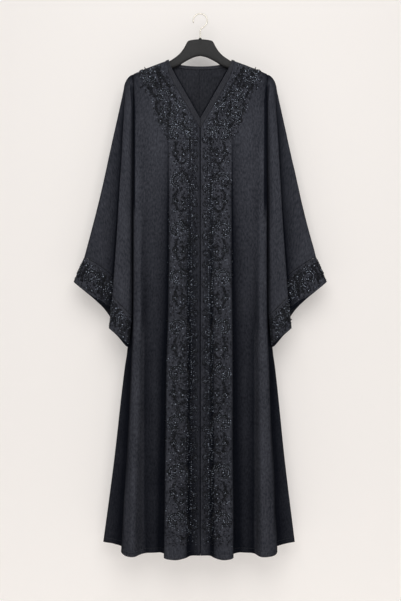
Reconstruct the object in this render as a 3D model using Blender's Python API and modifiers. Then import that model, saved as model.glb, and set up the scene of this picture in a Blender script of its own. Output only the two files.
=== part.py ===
"""An open-front abaya cloak on a contoured hanger.

Metres, +Z up, the wearer's left is +X and the front faces -Y. The origin is the inside of the
hook's crown, where a rail carries it. Each cloth piece is a sheet lofted through its fold lines
and thickened to a wall; a second sheet lies on another by taking that sheet's own points.
"""

import math
from typing import NamedTuple

import bmesh
import bpy
import numpy as np

# ------------------------------------------------------------------ driving sizes
MM = 0.001
WALL = 1.6 * MM  # cloth wall
TRIM_WALL = 1.0 * MM  # neck bands and applied lace
SEAM_GAP = 0.3 * MM  # between two pieces at a seam
CUFF_SEAM_GAP = 0.5 * MM
OVERARM_EASE = 0.42 * MM  # each half of a sleeve stops this far short of the over-arm seam
TRIM_GAP = 0.6 * MM  # between a panel and what is applied to it

NECK_HALF_WIDTH = 89.5 * MM  # centre to the neck point on the shoulder
NECK_POINT_Z = -131.0 * MM
FRONT_NECK_Z = -299.5 * MM  # foot of the V
V_SLOPE = 1.762  # rise of the V edge for each unit across, until it turns up over the hanger
V_TURN_POWER = 14
BACK_NECK_Z = -146.0 * MM
SHOULDER_SEAM_Y = 0.42 * MM  # each panel stops this far from the ridge
RIDGE_SLOPE = 0.34  # fall of the shoulder at the neck point
RIDGE_CURVE = 0.56  # extra fall per metre squared, towards the tip
ARMHOLE_X = 189.9 * MM
FRONT_EDGE_X = 0.5 * MM  # each front stops this far from the centre line

# Heights of the body's sections; the hem has a height of its own on each fold line.
BODY_LEVELS = {
    "shoulder": -0.17,
    "yoke": -0.33,
    "underarm": -0.67,
    "elbow": -0.84,
    "hip": -1.0,
    "knee": -1.27,
    "hem": -1.53,
}
SLEEVE_LEVELS = {"cap": 0.0, "upper": 0.25, "underarm": 0.7, "seam": 1.0}


class BodyFold(NamedTuple):
    """One fold line of a body panel, in millimetres, with a value for each of BODY_LEVELS."""

    name: str
    across: tuple  # distance from the centre line
    depth: tuple  # in front of (-) or behind (+) the hanger's mid plane
    hem: float  # height of the hem on this line
    strips: int  # facets from this line to the next


class SleeveFold(NamedTuple):
    """One fold line of a sleeve, in millimetres: cap angle, then values for SLEEVE_LEVELS and the cuff's edge."""

    name: str
    angle: float  # degrees round the shoulder tip, -90 at the front
    across: tuple
    depth: tuple
    height: tuple  # at the cap, the cuff seam and the cuff's edge
    strips: int


FRONT_FOLDS = (
    BodyFold("centre", (0.5, 0.5, 0.5, 0.5, 0.5, 0.5, 0.5), (-11, -17, -24, -28, -31, -37.4, -44), -1525.5, 2),
    BodyFold("groove", (25, 25, 26, 27, 27, 27.5, 28), (-10.8, -16.6, -19, -22, -24, -29.9, -36), -1528, 2),
    BodyFold("band_start", (40, 40, 40, 40, 40, 40.5, 41), (-10.6, -17.6, -27, -32, -35, -41.9, -49), -1531, 2),
    BodyFold("band", (62, 62, 62, 62, 63, 62.5, 62), (-10.4, -18.6, -30, -35, -39, -46.8, -55), -1535, 2),
    BodyFold("edge_crest", (83, 83, 83, 84, 85, 84.5, 84), (-10.2, -18.6, -31, -36, -41, -47.9, -55), -1533, 1),
    BodyFold("edge", (88.2, 88.6, 89, 90, 91, 91.5, 92), (-10.1, -18.3, -26, -31, -36, -42.4, -49), -1530, 1),
    BodyFold("tuck", (89.6, 92, 87, 87, 88, 87.5, 87), (-10.1, -17.9, -19, -21, -25, -28.9, -33), -1527, 2),
    BodyFold("valley", (108, 108, 103, 103, 105, 105.5, 106), (-11.4, -17.2, -14, -13.5, -13.5, -15.2, -17), -1524, 1),
    BodyFold("floor", (130, 130, 128, 127, 127, 127, 127), (-13.5, -17, -15, -15, -17, -19.5, -22), -1523, 1),
    BodyFold("rise", (150, 150, 150, 150, 150, 150, 150), (-15, -17.5, -15, -14, -14.5, -16, -18), -1526, 2),
    BodyFold("crest", (168, 168, 169, 168, 168, 170, 172), (-15.3, -19, -24, -29, -35, -41.9, -49), -1528, 1),
    BodyFold("side_crest", (181, 182, 183, 184, 189, 196, 204), (-15.3, -19.5, -23, -27, -33, -38.9, -45), -1526, 1),
    BodyFold("side", (187, 187.6, 188.4, 189.4, 194, 204, 216), (-15, -17, -18, -20, -23, -28.4, -34), -1517, 1),
    BodyFold("side_tuck", (188.2, 187.8, 188, 189, 192, 201.5, 213), (-14.8, -13, -10, -12, -13, -15, -17), -1509, 1),
    BodyFold("flank", (188.7, 187.6, 187.6, 188, 200, 219, 242), (-14.7, -11, -5, -6, -5, -3.5, -2), -1503.5, 2),
    BodyFold("seam", (189, 187.6, 187.6, 188.2, 211.2, 239.5, 271.5), (-14.6, -9, -0.95, -0.95, -0.95, 2, 5), -1499.5, 0),
)
BACK_FOLDS = (
    BodyFold("centre", (0.15, 0.15, 0.15, 0.15, 0.15, 0.15, 0.15), (9.6, 14, 15, 16, 17, 20.4, 24), -1526, 1),
    BodyFold("centre_flat", (6, 6, 6, 6, 6, 6, 6), (9.6, 14, 15, 16, 17, 20.4, 24), -1526, 1),
    BodyFold("inner_rise", (30, 30, 30, 30, 30, 30, 30), (9.7, 15, 18, 20, 23, 28.9, 35), -1527, 2),
    BodyFold("inner_crest", (60, 60, 60, 60, 60, 60, 60), (9.9, 15.5, 21, 24, 28, 35.4, 43), -1528, 2),
    BodyFold("inner_fall", (84, 84, 84, 84, 84, 84, 84), (10.1, 15.5, 20.5, 23, 26.5, 32.1, 38), -1526, 1),
    BodyFold("neck_point", (89.5, 90, 92, 92, 92, 92, 92), (10.1, 15.5, 19, 21.5, 24, 28.9, 34), -1525, 1),
    BodyFold("valley", (118, 118, 118, 118, 118, 118, 118), (12, 15.5, 15, 15.5, 16, 18, 20), -1522, 1),
    BodyFold("floor", (142, 142, 142, 142, 143, 144.5, 146), (14, 16, 16.5, 17, 19, 22.4, 26), -1521, 2),
    BodyFold("crest", (166, 166, 167, 168, 170, 175.9, 182), (15.2, 17.5, 22, 25, 30, 36.9, 44), -1521, 2),
    BodyFold("side_crest", (181, 181, 182, 182, 190, 202.2, 215), (15.3, 17.5, 20, 22, 26, 30.9, 36), -1514, 1),
    BodyFold("side", (187, 187.4, 187.6, 187.8, 198, 214, 235), (15, 14, 13, 14, 16, 18.9, 22), -1507, 1),
    BodyFold("flank", (188.7, 187.6, 187.6, 188, 205, 228, 254), (14.8, 11, 5, 5, 7, 10.4, 14), -1502.5, 1),
    BodyFold("seam", (189, 187.6, 187.6, 188.2, 211.2, 239.5, 271.5), (14.6, 9, 0.95, 0.95, 0.95, 3.9, 7), -1499.5, 0),
)
SLEEVE_FOLDS = (
    SleeveFold("front_seam", -90, (189.9, 189.6, 189.6, 199, 204), (-13, -9, -0.95, -7, -8), (-235, -854, -947), 1),
    SleeveFold("inner_roll", -78, (194, 193.6, 193.6, 202, 207), (-14.6, -13, -9, -12.5, -13), (-228, -851, -944), 1),
    SleeveFold("inner_crest", -66, (199, 198, 199, 208, 213), (-14, -16.5, -16.5, -17, -18), (-221, -844, -939), 2),
    SleeveFold("panel", -52, (206, 207, 216, 227, 234), (-11.8, -18, -20, -20, -21), (-214, -823, -912), 2),
    SleeveFold("fold_edge", -40, (210, 219, 234, 246, 255), (-9.6, -15.5, -18.5, -18, -19), (-212, -804, -893), 1),
    SleeveFold("fold_roll", -36, (211.2, 219.5, 234, 246.5, 256), (-8.9, -12, -13.5, -13, -14), (-212, -801, -890), 1),
    SleeveFold("fold_turn", -30, (212.8, 216.5, 222, 227, 232), (-7.5, -9, -9, -8.5, -8.5), (-211, -776, -876), 1),
    SleeveFold("outer_start", -24, (214, 219.0, 229, 237, 238), (-6.1, -4.6, -3.4, -2.6, -3), (-211, -753, -857), 2),
    SleeveFold("outer_panel", -14, (215.6, 229, 262, 286, 300), (-3.6, -3.6, -3.6, -3.6, -6), (-210, -713, -808.5), 2),
    SleeveFold("outer_roll", -6, (216.3, 240, 286, 322, 350), (-1.6, -3.4, -4, -4, -6), (-211, -693, -768), 1),
    SleeveFold("top_edge", 0, (216.4, 242.8, 291, 328.6, 359.3), (0, 0.6, 1, 1, 1), (-212, -689, -759.5), 1),
    SleeveFold("back_roll", 6, (216.3, 240, 286, 322, 350), (1.6, 4.6, 6, 6, 8), (-211, -693, -768), 2),
    SleeveFold("back_outer", 22, (214.3, 229, 258, 284, 300), (5.6, 9, 11, 12, 14), (-209, -721, -811), 2),
    SleeveFold("back_valley", 40, (210, 215, 235, 256, 269), (9.6, 11, 9, 9, 10), (-212, -750, -842), 2),
    SleeveFold("back_crest", 58, (203.7, 206, 215, 229, 237), (12.7, 16, 17, 16, 16), (-215, -789, -893), 2),
    SleeveFold("back_inner", 75, (196.4, 196.4, 198, 210, 216), (14.5, 14.6, 12, 8, 7), (-226, -832, -925), 1),
    SleeveFold("back_seam", 90, (189.9, 189.6, 189.6, 199, 204), (13, 9, 0.95, -5, -6), (-235, -854, -947), 0),
)
OVERARM_FOLD = [f.name for f in SLEEVE_FOLDS].index("back_roll")

# The wearer's right half hangs a little wider: millimetres added across at the hip and at the hem, by fold line.
RIGHT_FRONT_SPREAD = {
    "groove": (-1, -2),
    "band": (2, 3),
    "edge_crest": (4, 7),
    "edge": (4, 8),
    "tuck": (4, 8),
    "valley": (2, 4),
    "rise": (2, 9),
    "crest": (3, 13),
    "side_crest": (0, 4),
    "side": (0, 5),
    "side_tuck": (0, 5),
    "flank": (1, 4),
    "seam": (1.5, 7),
}
RIGHT_BACK_SPREAD = {"side": (0, 4), "flank": (1, 5), "seam": (1.5, 7)}

BODY_ROWS = 22
BODY_ROW_POWER = 2.0  # rows crowd towards the shoulder, where the cloth bends over the hanger
SLEEVE_ROWS = 10
DOME_ROWS = 4
CUFF_ROWS = 3

NECK_BAND_ROWS = (0.0, 1.0, 2.0, 3.17)  # in rows of the front: 14 mm in from the V edge
NECK_BAND_LAST_COLUMN = 10  # of the front, at the neck point
NECK_BAND_SHOULDER_ENDS = (11.0, 10.92, 10.6, 10.15)  # where each row of the band ends past it
BACK_BAND_ROWS = (0.0, 1.0, 1.65)
BACK_BAND_LAST_COLUMN = 5


class LaceRow(NamedTuple):
    """A row of the applied lace that lies along a row of the front, from beside the neck band to end_x (mm)."""

    front_row: float
    start_x: float
    end_x: float


class LaceStation(NamedTuple):
    """A row of the applied lace above the band, in millimetres: it starts beside the neck band and ends at end_x."""

    start_height: float
    end_height: float
    end_x: float


LACE_SHOULDER_ROWS = (LaceRow(1.15, 109.5, 176), LaceRow(2.0, 105.5, 177), LaceRow(3.0, 98.5, 175))
LACE_STATIONS = (
    LaceStation(-180, -208, 168),
    LaceStation(-205, -226, 150),
    LaceStation(-232, -248, 138),
    LaceStation(-260, -272, 134),
    LaceStation(-290, -298, 121),
    LaceStation(-325, -328, 108),
    LaceStation(-350, -350, 97),
    LaceStation(-371, -371, 84.5),
)
LACE_YOKE_LIFT = 0.45 * MM  # above the band the lace clears the shoulder's bend by this much more
LACE_FROM_V_EDGE = 19.5 * MM  # across
LACE_START_X = 14.5 * MM  # least distance from the centre line
LACE_BAND_COLUMNS = (1, 8)  # of the front, down the centre band
LACE_REPEAT = 136 * MM
LACE_ROWS_PER_REPEAT = 6
LACE_FOOT_ABOVE_HEM = 26 * MM
LACE_RELIEF = 1.1 * MM
LACE_SCALLOP = 0.45  # of a column, at the outer edge
CUFF_RELIEF = 1.0 * MM

DOME_DEPTH = 15.0 * MM  # half depth of the cloth round the shoulder tip
DOME_REACH = 27.0 * MM
DOME_HEIGHT = 40.0 * MM
DOME_BASE_Z = -212.0 * MM

WIRE_RADIUS = 1.9 * MM
HOOK_INSIDE_RADIUS = 18.0 * MM
HOOK_TIP_ANGLE = 200.0  # degrees, round the hook's centre from +X
HOOK_LEAVE_ANGLE = -52.0
HOOK_STRAIGHT_Z = -50.0 * MM  # top of the straight stem
STEM_FOOT_Z = -86.0 * MM
HANGER_TOP_Z = -71.3 * MM
BORE_CLEARANCE = 0.4 * MM
FERRULE_RADIUS = 4.2 * MM
FERRULE_HEIGHT = 3.2 * MM


class HangerStation(NamedTuple):
    """A section of the hanger's right half, in millimetres."""

    x: float
    top: float
    bottom: float
    half_depth: float
    squareness: float  # 2 is an ellipse, higher is nearer a rectangle


HANGER_STATIONS = (
    HangerStation(0, -71.0, -118, 6.2, 4.5),
    HangerStation(14, -72.0, -120.8, 6.2, 4.5),
    HangerStation(27, -74.0, -126, 6.2, 4.5),
    HangerStation(34, -75.8, -129.6, 6.2, 4.5),
    HangerStation(38, -80.4, -131.8, 6.2, 4.5),
    HangerStation(41.8, -88.5, -133.8, 6.2, 4.3),
    HangerStation(47, -97.6, -137, 6.2, 4.0),
    HangerStation(55, -108.4, -142.6, 6.2, 3.6),
    HangerStation(66, -119.0, -148, 6.2, 3.2),
    HangerStation(78, -127.2, -152.8, 6.0, 2.8),
    HangerStation(90, -134.4, -157.5, 6.0, 2.4),
    HangerStation(110, -141.2, -166, 8.4, 2.2),
    HangerStation(140, -153, -178, 11.2, 2.1),
    HangerStation(168, -165.4, -192, 11.8, 2.0),
    HangerStation(186, -175, -202, 10.4, 2.0),
    HangerStation(198, -183, -206, 8.2, 2.0),
    HangerStation(206, -190.5, -207.5, 5.6, 2.0),
    HangerStation(210.6, -197, -206.5, 2.8, 2.0),
)
HANGER_SECTION_POINTS = 14

CLOTH_COLOUR = (0.030, 0.031, 0.036)
TRIM_COLOUR = (0.036, 0.037, 0.042)
LACE_COLOUR = (0.012, 0.012, 0.014)
HANGER_COLOUR = (0.028, 0.028, 0.030)
STEEL_COLOUR = (0.62, 0.60, 0.55)


# ------------------------------------------------------------------ curves
def monotone(knots, values, at):
    """Cubic through the values that never overshoots: each knot's slope is the harmonic mean of its sides."""
    knots = np.asarray(knots, float)
    values = np.asarray(values, float)
    step = np.diff(knots)
    rise = np.diff(values) / step
    slope = np.zeros(len(knots))
    slope[0], slope[-1] = rise[0], rise[-1]
    same_way = rise[:-1] * rise[1:] > 0
    with np.errstate(divide="ignore", invalid="ignore"):
        mean = 2.0 / (1.0 / rise[:-1] + 1.0 / rise[1:])
    slope[1:-1] = np.where(same_way, mean, 0.0)
    at = np.clip(at, knots[0], knots[-1])
    i = np.clip(np.searchsorted(knots, at, side="right") - 1, 0, len(step) - 1)
    t = (at - knots[i]) / step[i]
    return (
        (2 * t**3 - 3 * t**2 + 1) * values[i]
        + (t**3 - 2 * t**2 + t) * step[i] * slope[i]
        + (3 * t**2 - 2 * t**3) * values[i + 1]
        + (t**3 - t**2) * step[i] * slope[i + 1]
    )


def spline_weights(knots, at):
    """Matrix that carries the values at the knots to a Catmull-Rom curve at each place, uneven knots allowed."""
    count = len(knots)
    step = np.diff(knots)
    slope = np.zeros((count, count))
    for k in range(count):
        low, high = max(k - 1, 0), min(k + 1, count - 1)
        slope[k, high] += 1.0 / (knots[high] - knots[low])
        slope[k, low] -= 1.0 / (knots[high] - knots[low])
    i = np.clip(np.searchsorted(knots, at, side="right") - 1, 0, count - 2)
    t = ((at - knots[i]) / step[i])[:, None]
    h = step[i][:, None]
    whole = np.eye(count)
    return (
        (2 * t**3 - 3 * t**2 + 1) * whole[i]
        + (t**3 - 2 * t**2 + t) * h * slope[i]
        + (3 * t**2 - 2 * t**3) * whole[i + 1]
        + (t**3 - t**2) * h * slope[i + 1]
    )


def fold_knots(folds, level):
    """Knots for the fold lines: the square root of the distance from one to the next, at one level."""
    points = np.array([(f.across[level], f.depth[level]) for f in folds], float)
    gaps = np.linalg.norm(np.diff(points, axis=0), axis=1)
    return np.concatenate([[0.0], np.cumsum(np.sqrt(gaps))])


def strip_places(folds, knots):
    """Where the columns of a sheet stand: each gap between fold lines is cut into its strips."""
    places = [np.linspace(knots[i], knots[i + 1], f.strips, endpoint=False) for i, f in enumerate(folds[:-1])]
    return np.concatenate([*places, knots[-1:]])


# ------------------------------------------------------------------ body sheets
def ridge_z(x):
    """Height of the shoulder's ridge, which falls away from the neck point."""
    out = x - NECK_HALF_WIDTH
    return NECK_POINT_Z - RIDGE_SLOPE * out - RIDGE_CURVE * np.maximum(out, 0.0) ** 2


def front_top_z(x):
    """Top edge of a front: the straight side of the V, then the shoulder seam."""
    straight = FRONT_NECK_Z + V_SLOPE * x
    lift = NECK_POINT_Z - FRONT_NECK_Z - V_SLOPE * NECK_HALF_WIDTH
    v_edge = straight + lift * np.clip(x / NECK_HALF_WIDTH, 0, 1) ** V_TURN_POWER
    return np.where(x < NECK_HALF_WIDTH, v_edge, ridge_z(x))


def back_top_z(x):
    """Top edge of the back: a shallow curved neckline, then the shoulder seam."""
    neck = BACK_NECK_Z + (NECK_POINT_Z - BACK_NECK_Z) * np.clip(x / NECK_HALF_WIDTH, 0, 1) ** 2.5
    return np.where(x < NECK_HALF_WIDTH, neck, ridge_z(x))


def over_hanger(x, z):
    """Share of its full depth that the cloth has reached below the ridge: a quarter ellipse."""
    bend = 12 * MM + 0.1 * np.clip(x - NECK_HALF_WIDTH, 0, 0.1)
    fall = np.clip((ridge_z(x) - z) / bend, 0, 1)
    return np.sqrt(1 - (1 - fall) ** 2)


def body_sheet(folds, top_z, spread=None, rows=BODY_ROWS):
    """Grid of points of a body panel on the +X side, rows from the top edge down and columns from the centre out.

    A point's place across and in depth is a spline through the fold lines, each of which is a
    monotone curve through the levels; the ridge bends the cloth back over the hanger.
    """
    spread = spread or {}
    knots = fold_knots(folds, level=4)
    columns = strip_places(folds, knots)
    weights = spline_weights(knots, columns)
    top_x = weights @ np.array([f.across[0] for f in folds]) * MM
    hem_z = weights @ np.array([f.hem for f in folds]) * MM
    share = np.linspace(0, 1, rows)[:, None] ** BODY_ROW_POWER
    z = top_z(top_x) + (hem_z - top_z(top_x)) * share
    levels = np.array(list(BODY_LEVELS.values()))[::-1]
    x, y = np.zeros_like(z), np.zeros_like(z)
    for i, fold in enumerate(folds):
        across = monotone(levels, fold.across[::-1], z)
        if fold.name in spread:
            at = [BODY_LEVELS[level] for level in ("hem", "hip", "elbow")]
            across = across + np.interp(z, at, (*spread[fold.name][::-1], 0))
        x += weights[:, i] * across * MM
        y += weights[:, i] * monotone(levels, fold.depth[::-1], z) * MM
    share = over_hanger(x, z)
    y = y * share + math.copysign(SHOULDER_SEAM_Y, y[-1, 0]) * (1 - share)
    return np.stack([x, y, z], axis=-1)


# ------------------------------------------------------------------ sleeve sheets
def sleeve_controls(row_share):
    """Points of the sleeve's fold lines at each share of the way from the shoulder tip to the cuff seam."""
    shares = list(SLEEVE_LEVELS.values())
    lines = []
    for fold in SLEEVE_FOLDS:
        x = monotone(shares, fold.across[:4], row_share)
        y = monotone(shares, fold.depth[:4], row_share)
        z = fold.height[0] + (fold.height[1] - fold.height[0]) * row_share
        lines.append(np.stack([x, y, z], axis=-1))
    return np.stack(lines, axis=1) * MM


def dome_controls(rows=DOME_ROWS):
    """Rows over the shoulder tip: an ellipsoid turned from the armhole's upright plane down to the cap's level."""
    angles = np.radians([f.angle for f in SLEEVE_FOLDS])
    cap = sleeve_controls(np.zeros(1))[0]
    made = []
    for k in range(rows):
        turn = 0.5 * math.pi * k / rows
        blend = (k / rows) ** 2
        x = ARMHOLE_X + DOME_REACH * np.sin(turn) * np.cos(angles)
        y = DOME_DEPTH * np.sin(angles)
        z = DOME_BASE_Z + DOME_HEIGHT * np.cos(turn) * np.cos(angles) + 0.0 * y
        sink = (1 - np.cos(angles)) * (cap[:, 2] - DOME_BASE_Z) * (k / rows)
        point = np.stack([x, y, z + sink], axis=-1)
        made.append(point * (1 - blend) + cap * blend)
    return np.stack(made)


def sleeve_columns(controls):
    """Carries fold-line points to all columns of the sleeve."""
    knots = fold_knots(SLEEVE_FOLDS, level=3)
    weights = spline_weights(knots, strip_places(SLEEVE_FOLDS, knots))
    return np.einsum("ci,rik->rck", weights, controls)


def sleeve_sheet(rows=SLEEVE_ROWS):
    """Grid of the sleeve, from the armhole over the shoulder tip to the cuff seam, front round to back."""
    below = sleeve_controls(np.linspace(0, 1, rows))
    return sleeve_columns(np.concatenate([dome_controls(), below]))


def sleeve_halves(points):
    """The front and the back of a sleeve, which meet along the over-arm seam just behind the top edge."""
    seam = sum(f.strips for f in SLEEVE_FOLDS[: OVERARM_FOLD])
    halves = [points[:, : seam + 1].copy(), points[:, seam:].copy()]
    for half, end, inner in ((halves[0], -1, -2), (halves[1], 0, 1)):
        back = half[:, inner] - half[:, end]
        half[:, end] += back / np.linalg.norm(back, axis=1, keepdims=True) * OVERARM_EASE
    return halves


def cuff_sheet(rows=CUFF_ROWS):
    """Grid of the cuff band, which carries the sleeve's lines on from the cuff seam to its edge.

    The band starts a seam's gap below the sleeve, measured square to the slanting seam and
    wider where the seam turns round a fold.
    """
    seam = sleeve_controls(np.ones(1))[0]
    edge = np.array([(f.across[4], f.depth[4], f.height[2]) for f in SLEEVE_FOLDS]) * MM
    seam, edge = (sleeve_columns(line[None])[0] for line in (seam, edge))
    along = np.gradient(seam, axis=0)
    along /= np.linalg.norm(along, axis=1, keepdims=True)
    down = edge - seam
    reach = np.linalg.norm(down, axis=1, keepdims=True)
    down /= reach
    sine = np.linalg.norm(np.cross(along, down), axis=1, keepdims=True)
    step = np.diff(seam, axis=0)
    step /= np.linalg.norm(step, axis=1, keepdims=True)
    turn = np.zeros((len(seam), 1))
    turn[1:-1, 0] = np.arccos(np.clip(np.sum(step[1:] * step[:-1], axis=1), -1, 1))
    start = seam + down * CUFF_SEAM_GAP * (1 + 2.2 * turn) / np.maximum(sine, 0.2)
    share = np.linspace(0, 1, rows + 1)[:, None, None]
    return start + (edge - start) * share


# ------------------------------------------------------------------ Blender objects
def grid_normals(points):
    """Unit normals of a grid: out of a front or a sleeve, and into the hollow from a back."""
    down = np.gradient(points, axis=0)
    over = np.gradient(points, axis=1)
    normal = np.cross(down, over)
    return normal / np.linalg.norm(normal, axis=-1, keepdims=True)


def on_grid(values, rows, columns):
    """Values of a grid at fractional rows and columns, straight between its own points."""
    r = np.clip(np.floor(rows).astype(int), 0, values.shape[0] - 2)
    c = np.clip(np.floor(columns).astype(int), 0, values.shape[1] - 2)
    a, b = (rows - r)[..., None], (columns - c)[..., None]
    upper = values[r, c] * (1 - b) + values[r, c + 1] * b
    lower = values[r + 1, c] * (1 - b) + values[r + 1, c + 1] * b
    return upper * (1 - a) + lower * a


def place_on_grid(points, x, z):
    """Fractional row and column at which a front stands at this distance across and this height."""
    row_at = np.array([np.interp(-z, -points[:, c, 2], np.arange(len(points))) for c in range(points.shape[1])])
    x_at = np.array([np.interp(row_at[c], np.arange(len(points)), points[:, c, 0]) for c in range(len(row_at))])
    x_at = np.maximum.accumulate(x_at + 1e-9 * np.arange(len(x_at)))
    column = float(np.interp(x, x_at, np.arange(len(x_at))))
    return float(np.interp(column, np.arange(len(row_at)), row_at)), column


def material(name, colour, roughness, metallic=0.0):
    """A Principled BSDF with one colour."""
    made = bpy.data.materials.new(name)
    made.use_nodes = True
    shader = made.node_tree.nodes["Principled BSDF"]
    shader.inputs["Base Color"].default_value = (*colour, 1.0)
    shader.inputs["Roughness"].default_value = roughness
    shader.inputs["Metallic"].default_value = metallic
    made.diffuse_color = (*colour, 1.0)
    return made


def add_object(name, mesh, collection, surface=None):
    """Links a mesh as a named object with its material."""
    made = bpy.data.objects.new(name, mesh)
    collection.objects.link(made)
    if surface is not None:
        mesh.materials.append(surface)
    return made


def sheet_object(name, points, wall, collection, surface, mirrored=False):
    """A cloth piece: a grid of quads thickened evenly to both sides by Solidify."""
    points = points.copy()
    if mirrored:
        points[..., 0] *= -1
    rows, columns = points.shape[:2]
    index = np.arange(rows * columns).reshape(rows, columns)
    corners = [index[:-1, :-1], index[1:, :-1], index[1:, 1:], index[:-1, 1:]]
    if mirrored:
        corners.reverse()
    faces = np.stack(corners, axis=-1).reshape(-1, 4)
    mesh = bpy.data.meshes.new(name)
    mesh.from_pydata(points.reshape(-1, 3).tolist(), [], faces.tolist())
    mesh.shade_smooth()
    made = add_object(name, mesh, collection, surface)
    shell = made.modifiers.new("wall", "SOLIDIFY")
    shell.thickness = wall
    shell.offset = 0.0
    shell.use_even_offset = False
    return made


def relief_object(name, inner, outer, collection, surface, mirrored=False):
    """A trimmed cloth piece: a plain inner grid under a raised outer one, closed round the border."""
    rows, columns = inner.shape[:2]
    index = np.arange(rows * columns).reshape(rows, columns)
    quads = np.stack([index[:-1, :-1], index[1:, :-1], index[1:, 1:], index[:-1, 1:]], axis=-1).reshape(-1, 4)
    border = np.concatenate([index[:, 0], index[-1, 1:], index[-2::-1, -1], index[0, -2:0:-1]])
    after = np.roll(border, -1)
    count = rows * columns
    wall = np.stack([border + count, border, after, after + count], axis=-1)
    faces = np.concatenate([quads + count, quads[:, ::-1], wall])
    points = np.concatenate([inner.reshape(-1, 3), outer.reshape(-1, 3)])
    if mirrored:
        points = points * [-1, 1, 1]
        faces = faces[:, ::-1]
    mesh = bpy.data.meshes.new(name)
    mesh.from_pydata(points.tolist(), [], faces.tolist())
    mesh.shade_smooth()
    return add_object(name, mesh, collection, surface)


def hanger_half():
    """The hanger's right half: rounded sections along X, open at the centre and closed at the tip."""
    mesh = bmesh.new()
    angle = np.linspace(0, 2 * math.pi, HANGER_SECTION_POINTS, endpoint=False)
    rings = []
    for s in HANGER_STATIONS:
        power = 2.0 / s.squareness
        y = s.half_depth * np.sign(np.cos(angle)) * np.abs(np.cos(angle)) ** power
        z = 0.5 * (s.top - s.bottom) * np.sign(np.sin(angle)) * np.abs(np.sin(angle)) ** power
        middle = 0.5 * (s.top + s.bottom)
        rings.append([mesh.verts.new((s.x * MM, a * MM, (middle + b) * MM)) for a, b in zip(y, z)])
    for first, second in zip(rings, rings[1:]):
        for k in range(HANGER_SECTION_POINTS):
            after = (k + 1) % HANGER_SECTION_POINTS
            mesh.faces.new((first[k], first[after], second[after], second[k]))
    mesh.faces.new(rings[-1])
    bmesh.ops.recalc_face_normals(mesh, faces=mesh.faces)
    made = bpy.data.meshes.new("hanger_body")
    mesh.to_mesh(made)
    mesh.free()
    return made


def build_hanger(collection, cutters, plastic, steel):
    """The plastic hanger, bored for its wire hook, with the ferrule that finishes the bore."""
    body = add_object("hanger_body", hanger_half(), collection, plastic)
    body.data.shade_smooth()
    mirror = body.modifiers.new("both_halves", "MIRROR")
    mirror.merge_threshold = 0.0001
    bore_radius = WIRE_RADIUS + BORE_CLEARANCE
    bore_depth = HANGER_TOP_Z - STEM_FOOT_Z + BORE_CLEARANCE
    bpy.ops.mesh.primitive_cylinder_add(
        vertices=12, radius=bore_radius, depth=2 * bore_depth, location=(0, 0, HANGER_TOP_Z)
    )
    cutter = bpy.context.object
    cutter.name = "stem_bore"
    cutter.hide_render = True
    cutter.display_type = "WIRE"
    for owner in cutter.users_collection:
        owner.objects.unlink(cutter)
    cutters.objects.link(cutter)
    cut = body.modifiers.new("stem_bore", "BOOLEAN")
    cut.operation = "DIFFERENCE"
    cut.object = cutter
    build_hook(collection, steel)
    build_ferrule(collection, plastic, bore_radius)


def hook_line():
    """The hook's centre line: stem, easing bend, then the arc over the rail to the tip."""
    radius = HOOK_INSIDE_RADIUS + WIRE_RADIUS
    centre_z = -HOOK_INSIDE_RADIUS
    angles = np.radians(np.linspace(HOOK_LEAVE_ANGLE, HOOK_TIP_ANGLE, 27))
    arc = np.stack([radius * np.cos(angles), 0 * angles, centre_z + radius * np.sin(angles)], axis=-1)
    foot = np.array([[0, 0, STEM_FOOT_Z], [0, 0, 0.5 * (STEM_FOOT_Z + HOOK_STRAIGHT_Z)], [0, 0, HOOK_STRAIGHT_Z]])
    leave = arc[0]
    heading = np.array([math.sin(angles[0]), 0, -math.cos(angles[0])])
    t = np.linspace(0, 1, 7)[1:-1, None]
    pull = 0.45 * np.linalg.norm(leave - foot[-1])
    bend = (
        (1 - t) ** 3 * foot[-1]
        + 3 * t * (1 - t) ** 2 * (foot[-1] + [0, 0, pull])
        + 3 * t**2 * (1 - t) * (leave + heading * pull)
        + t**3 * leave
    )
    return np.concatenate([foot, bend, arc])


def build_hook(collection, steel):
    """The wire hook, whose inside crown is the origin."""
    line = hook_line()
    curve = bpy.data.curves.new("hanger_hook", "CURVE")
    curve.dimensions = "3D"
    curve.bevel_depth = WIRE_RADIUS
    curve.bevel_resolution = 2
    curve.use_fill_caps = True
    spline = curve.splines.new("POLY")
    spline.points.add(len(line) - 1)
    spline.points.foreach_set("co", np.column_stack([line, np.ones(len(line))]).ravel())
    curve.materials.append(steel)
    made = bpy.data.objects.new("hanger_hook", curve)
    collection.objects.link(made)


def build_ferrule(collection, plastic, bore_radius):
    """A turned ring round the stem, seated on the hanger's top."""
    low = HANGER_TOP_Z + SEAM_GAP
    high = low + FERRULE_HEIGHT
    mesh = bpy.data.meshes.new("hanger_ferrule")
    profile = [
        (bore_radius, 0, high),
        (FERRULE_RADIUS * 0.8, 0, high),
        (FERRULE_RADIUS, 0, low + 0.35 * FERRULE_HEIGHT),
        (FERRULE_RADIUS, 0, low),
        (bore_radius, 0, low),
    ]
    count = len(profile)
    mesh.from_pydata(profile, [(k, (k + 1) % count) for k in range(count)], [])
    made = add_object("hanger_ferrule", mesh, collection, plastic)
    turn = made.modifiers.new("turned", "SCREW")
    turn.steps = 16
    turn.render_steps = 16
    turn.use_merge_vertices = True
    turn.merge_threshold = 0.0001


def motif_height(along, across):
    """Relief of the embroidery, 0 to 1: a large scroll each repeat and a small one half way, fading at both edges."""
    large = np.maximum(np.cos(2 * math.pi * along), 0) * np.exp(-(((across - 0.68) / 0.28) ** 2))
    small = np.maximum(-np.cos(2 * math.pi * along), 0) * np.exp(-(((across - 0.35) / 0.25) ** 2))
    return np.clip(large + 0.8 * small, 0, 1)


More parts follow.
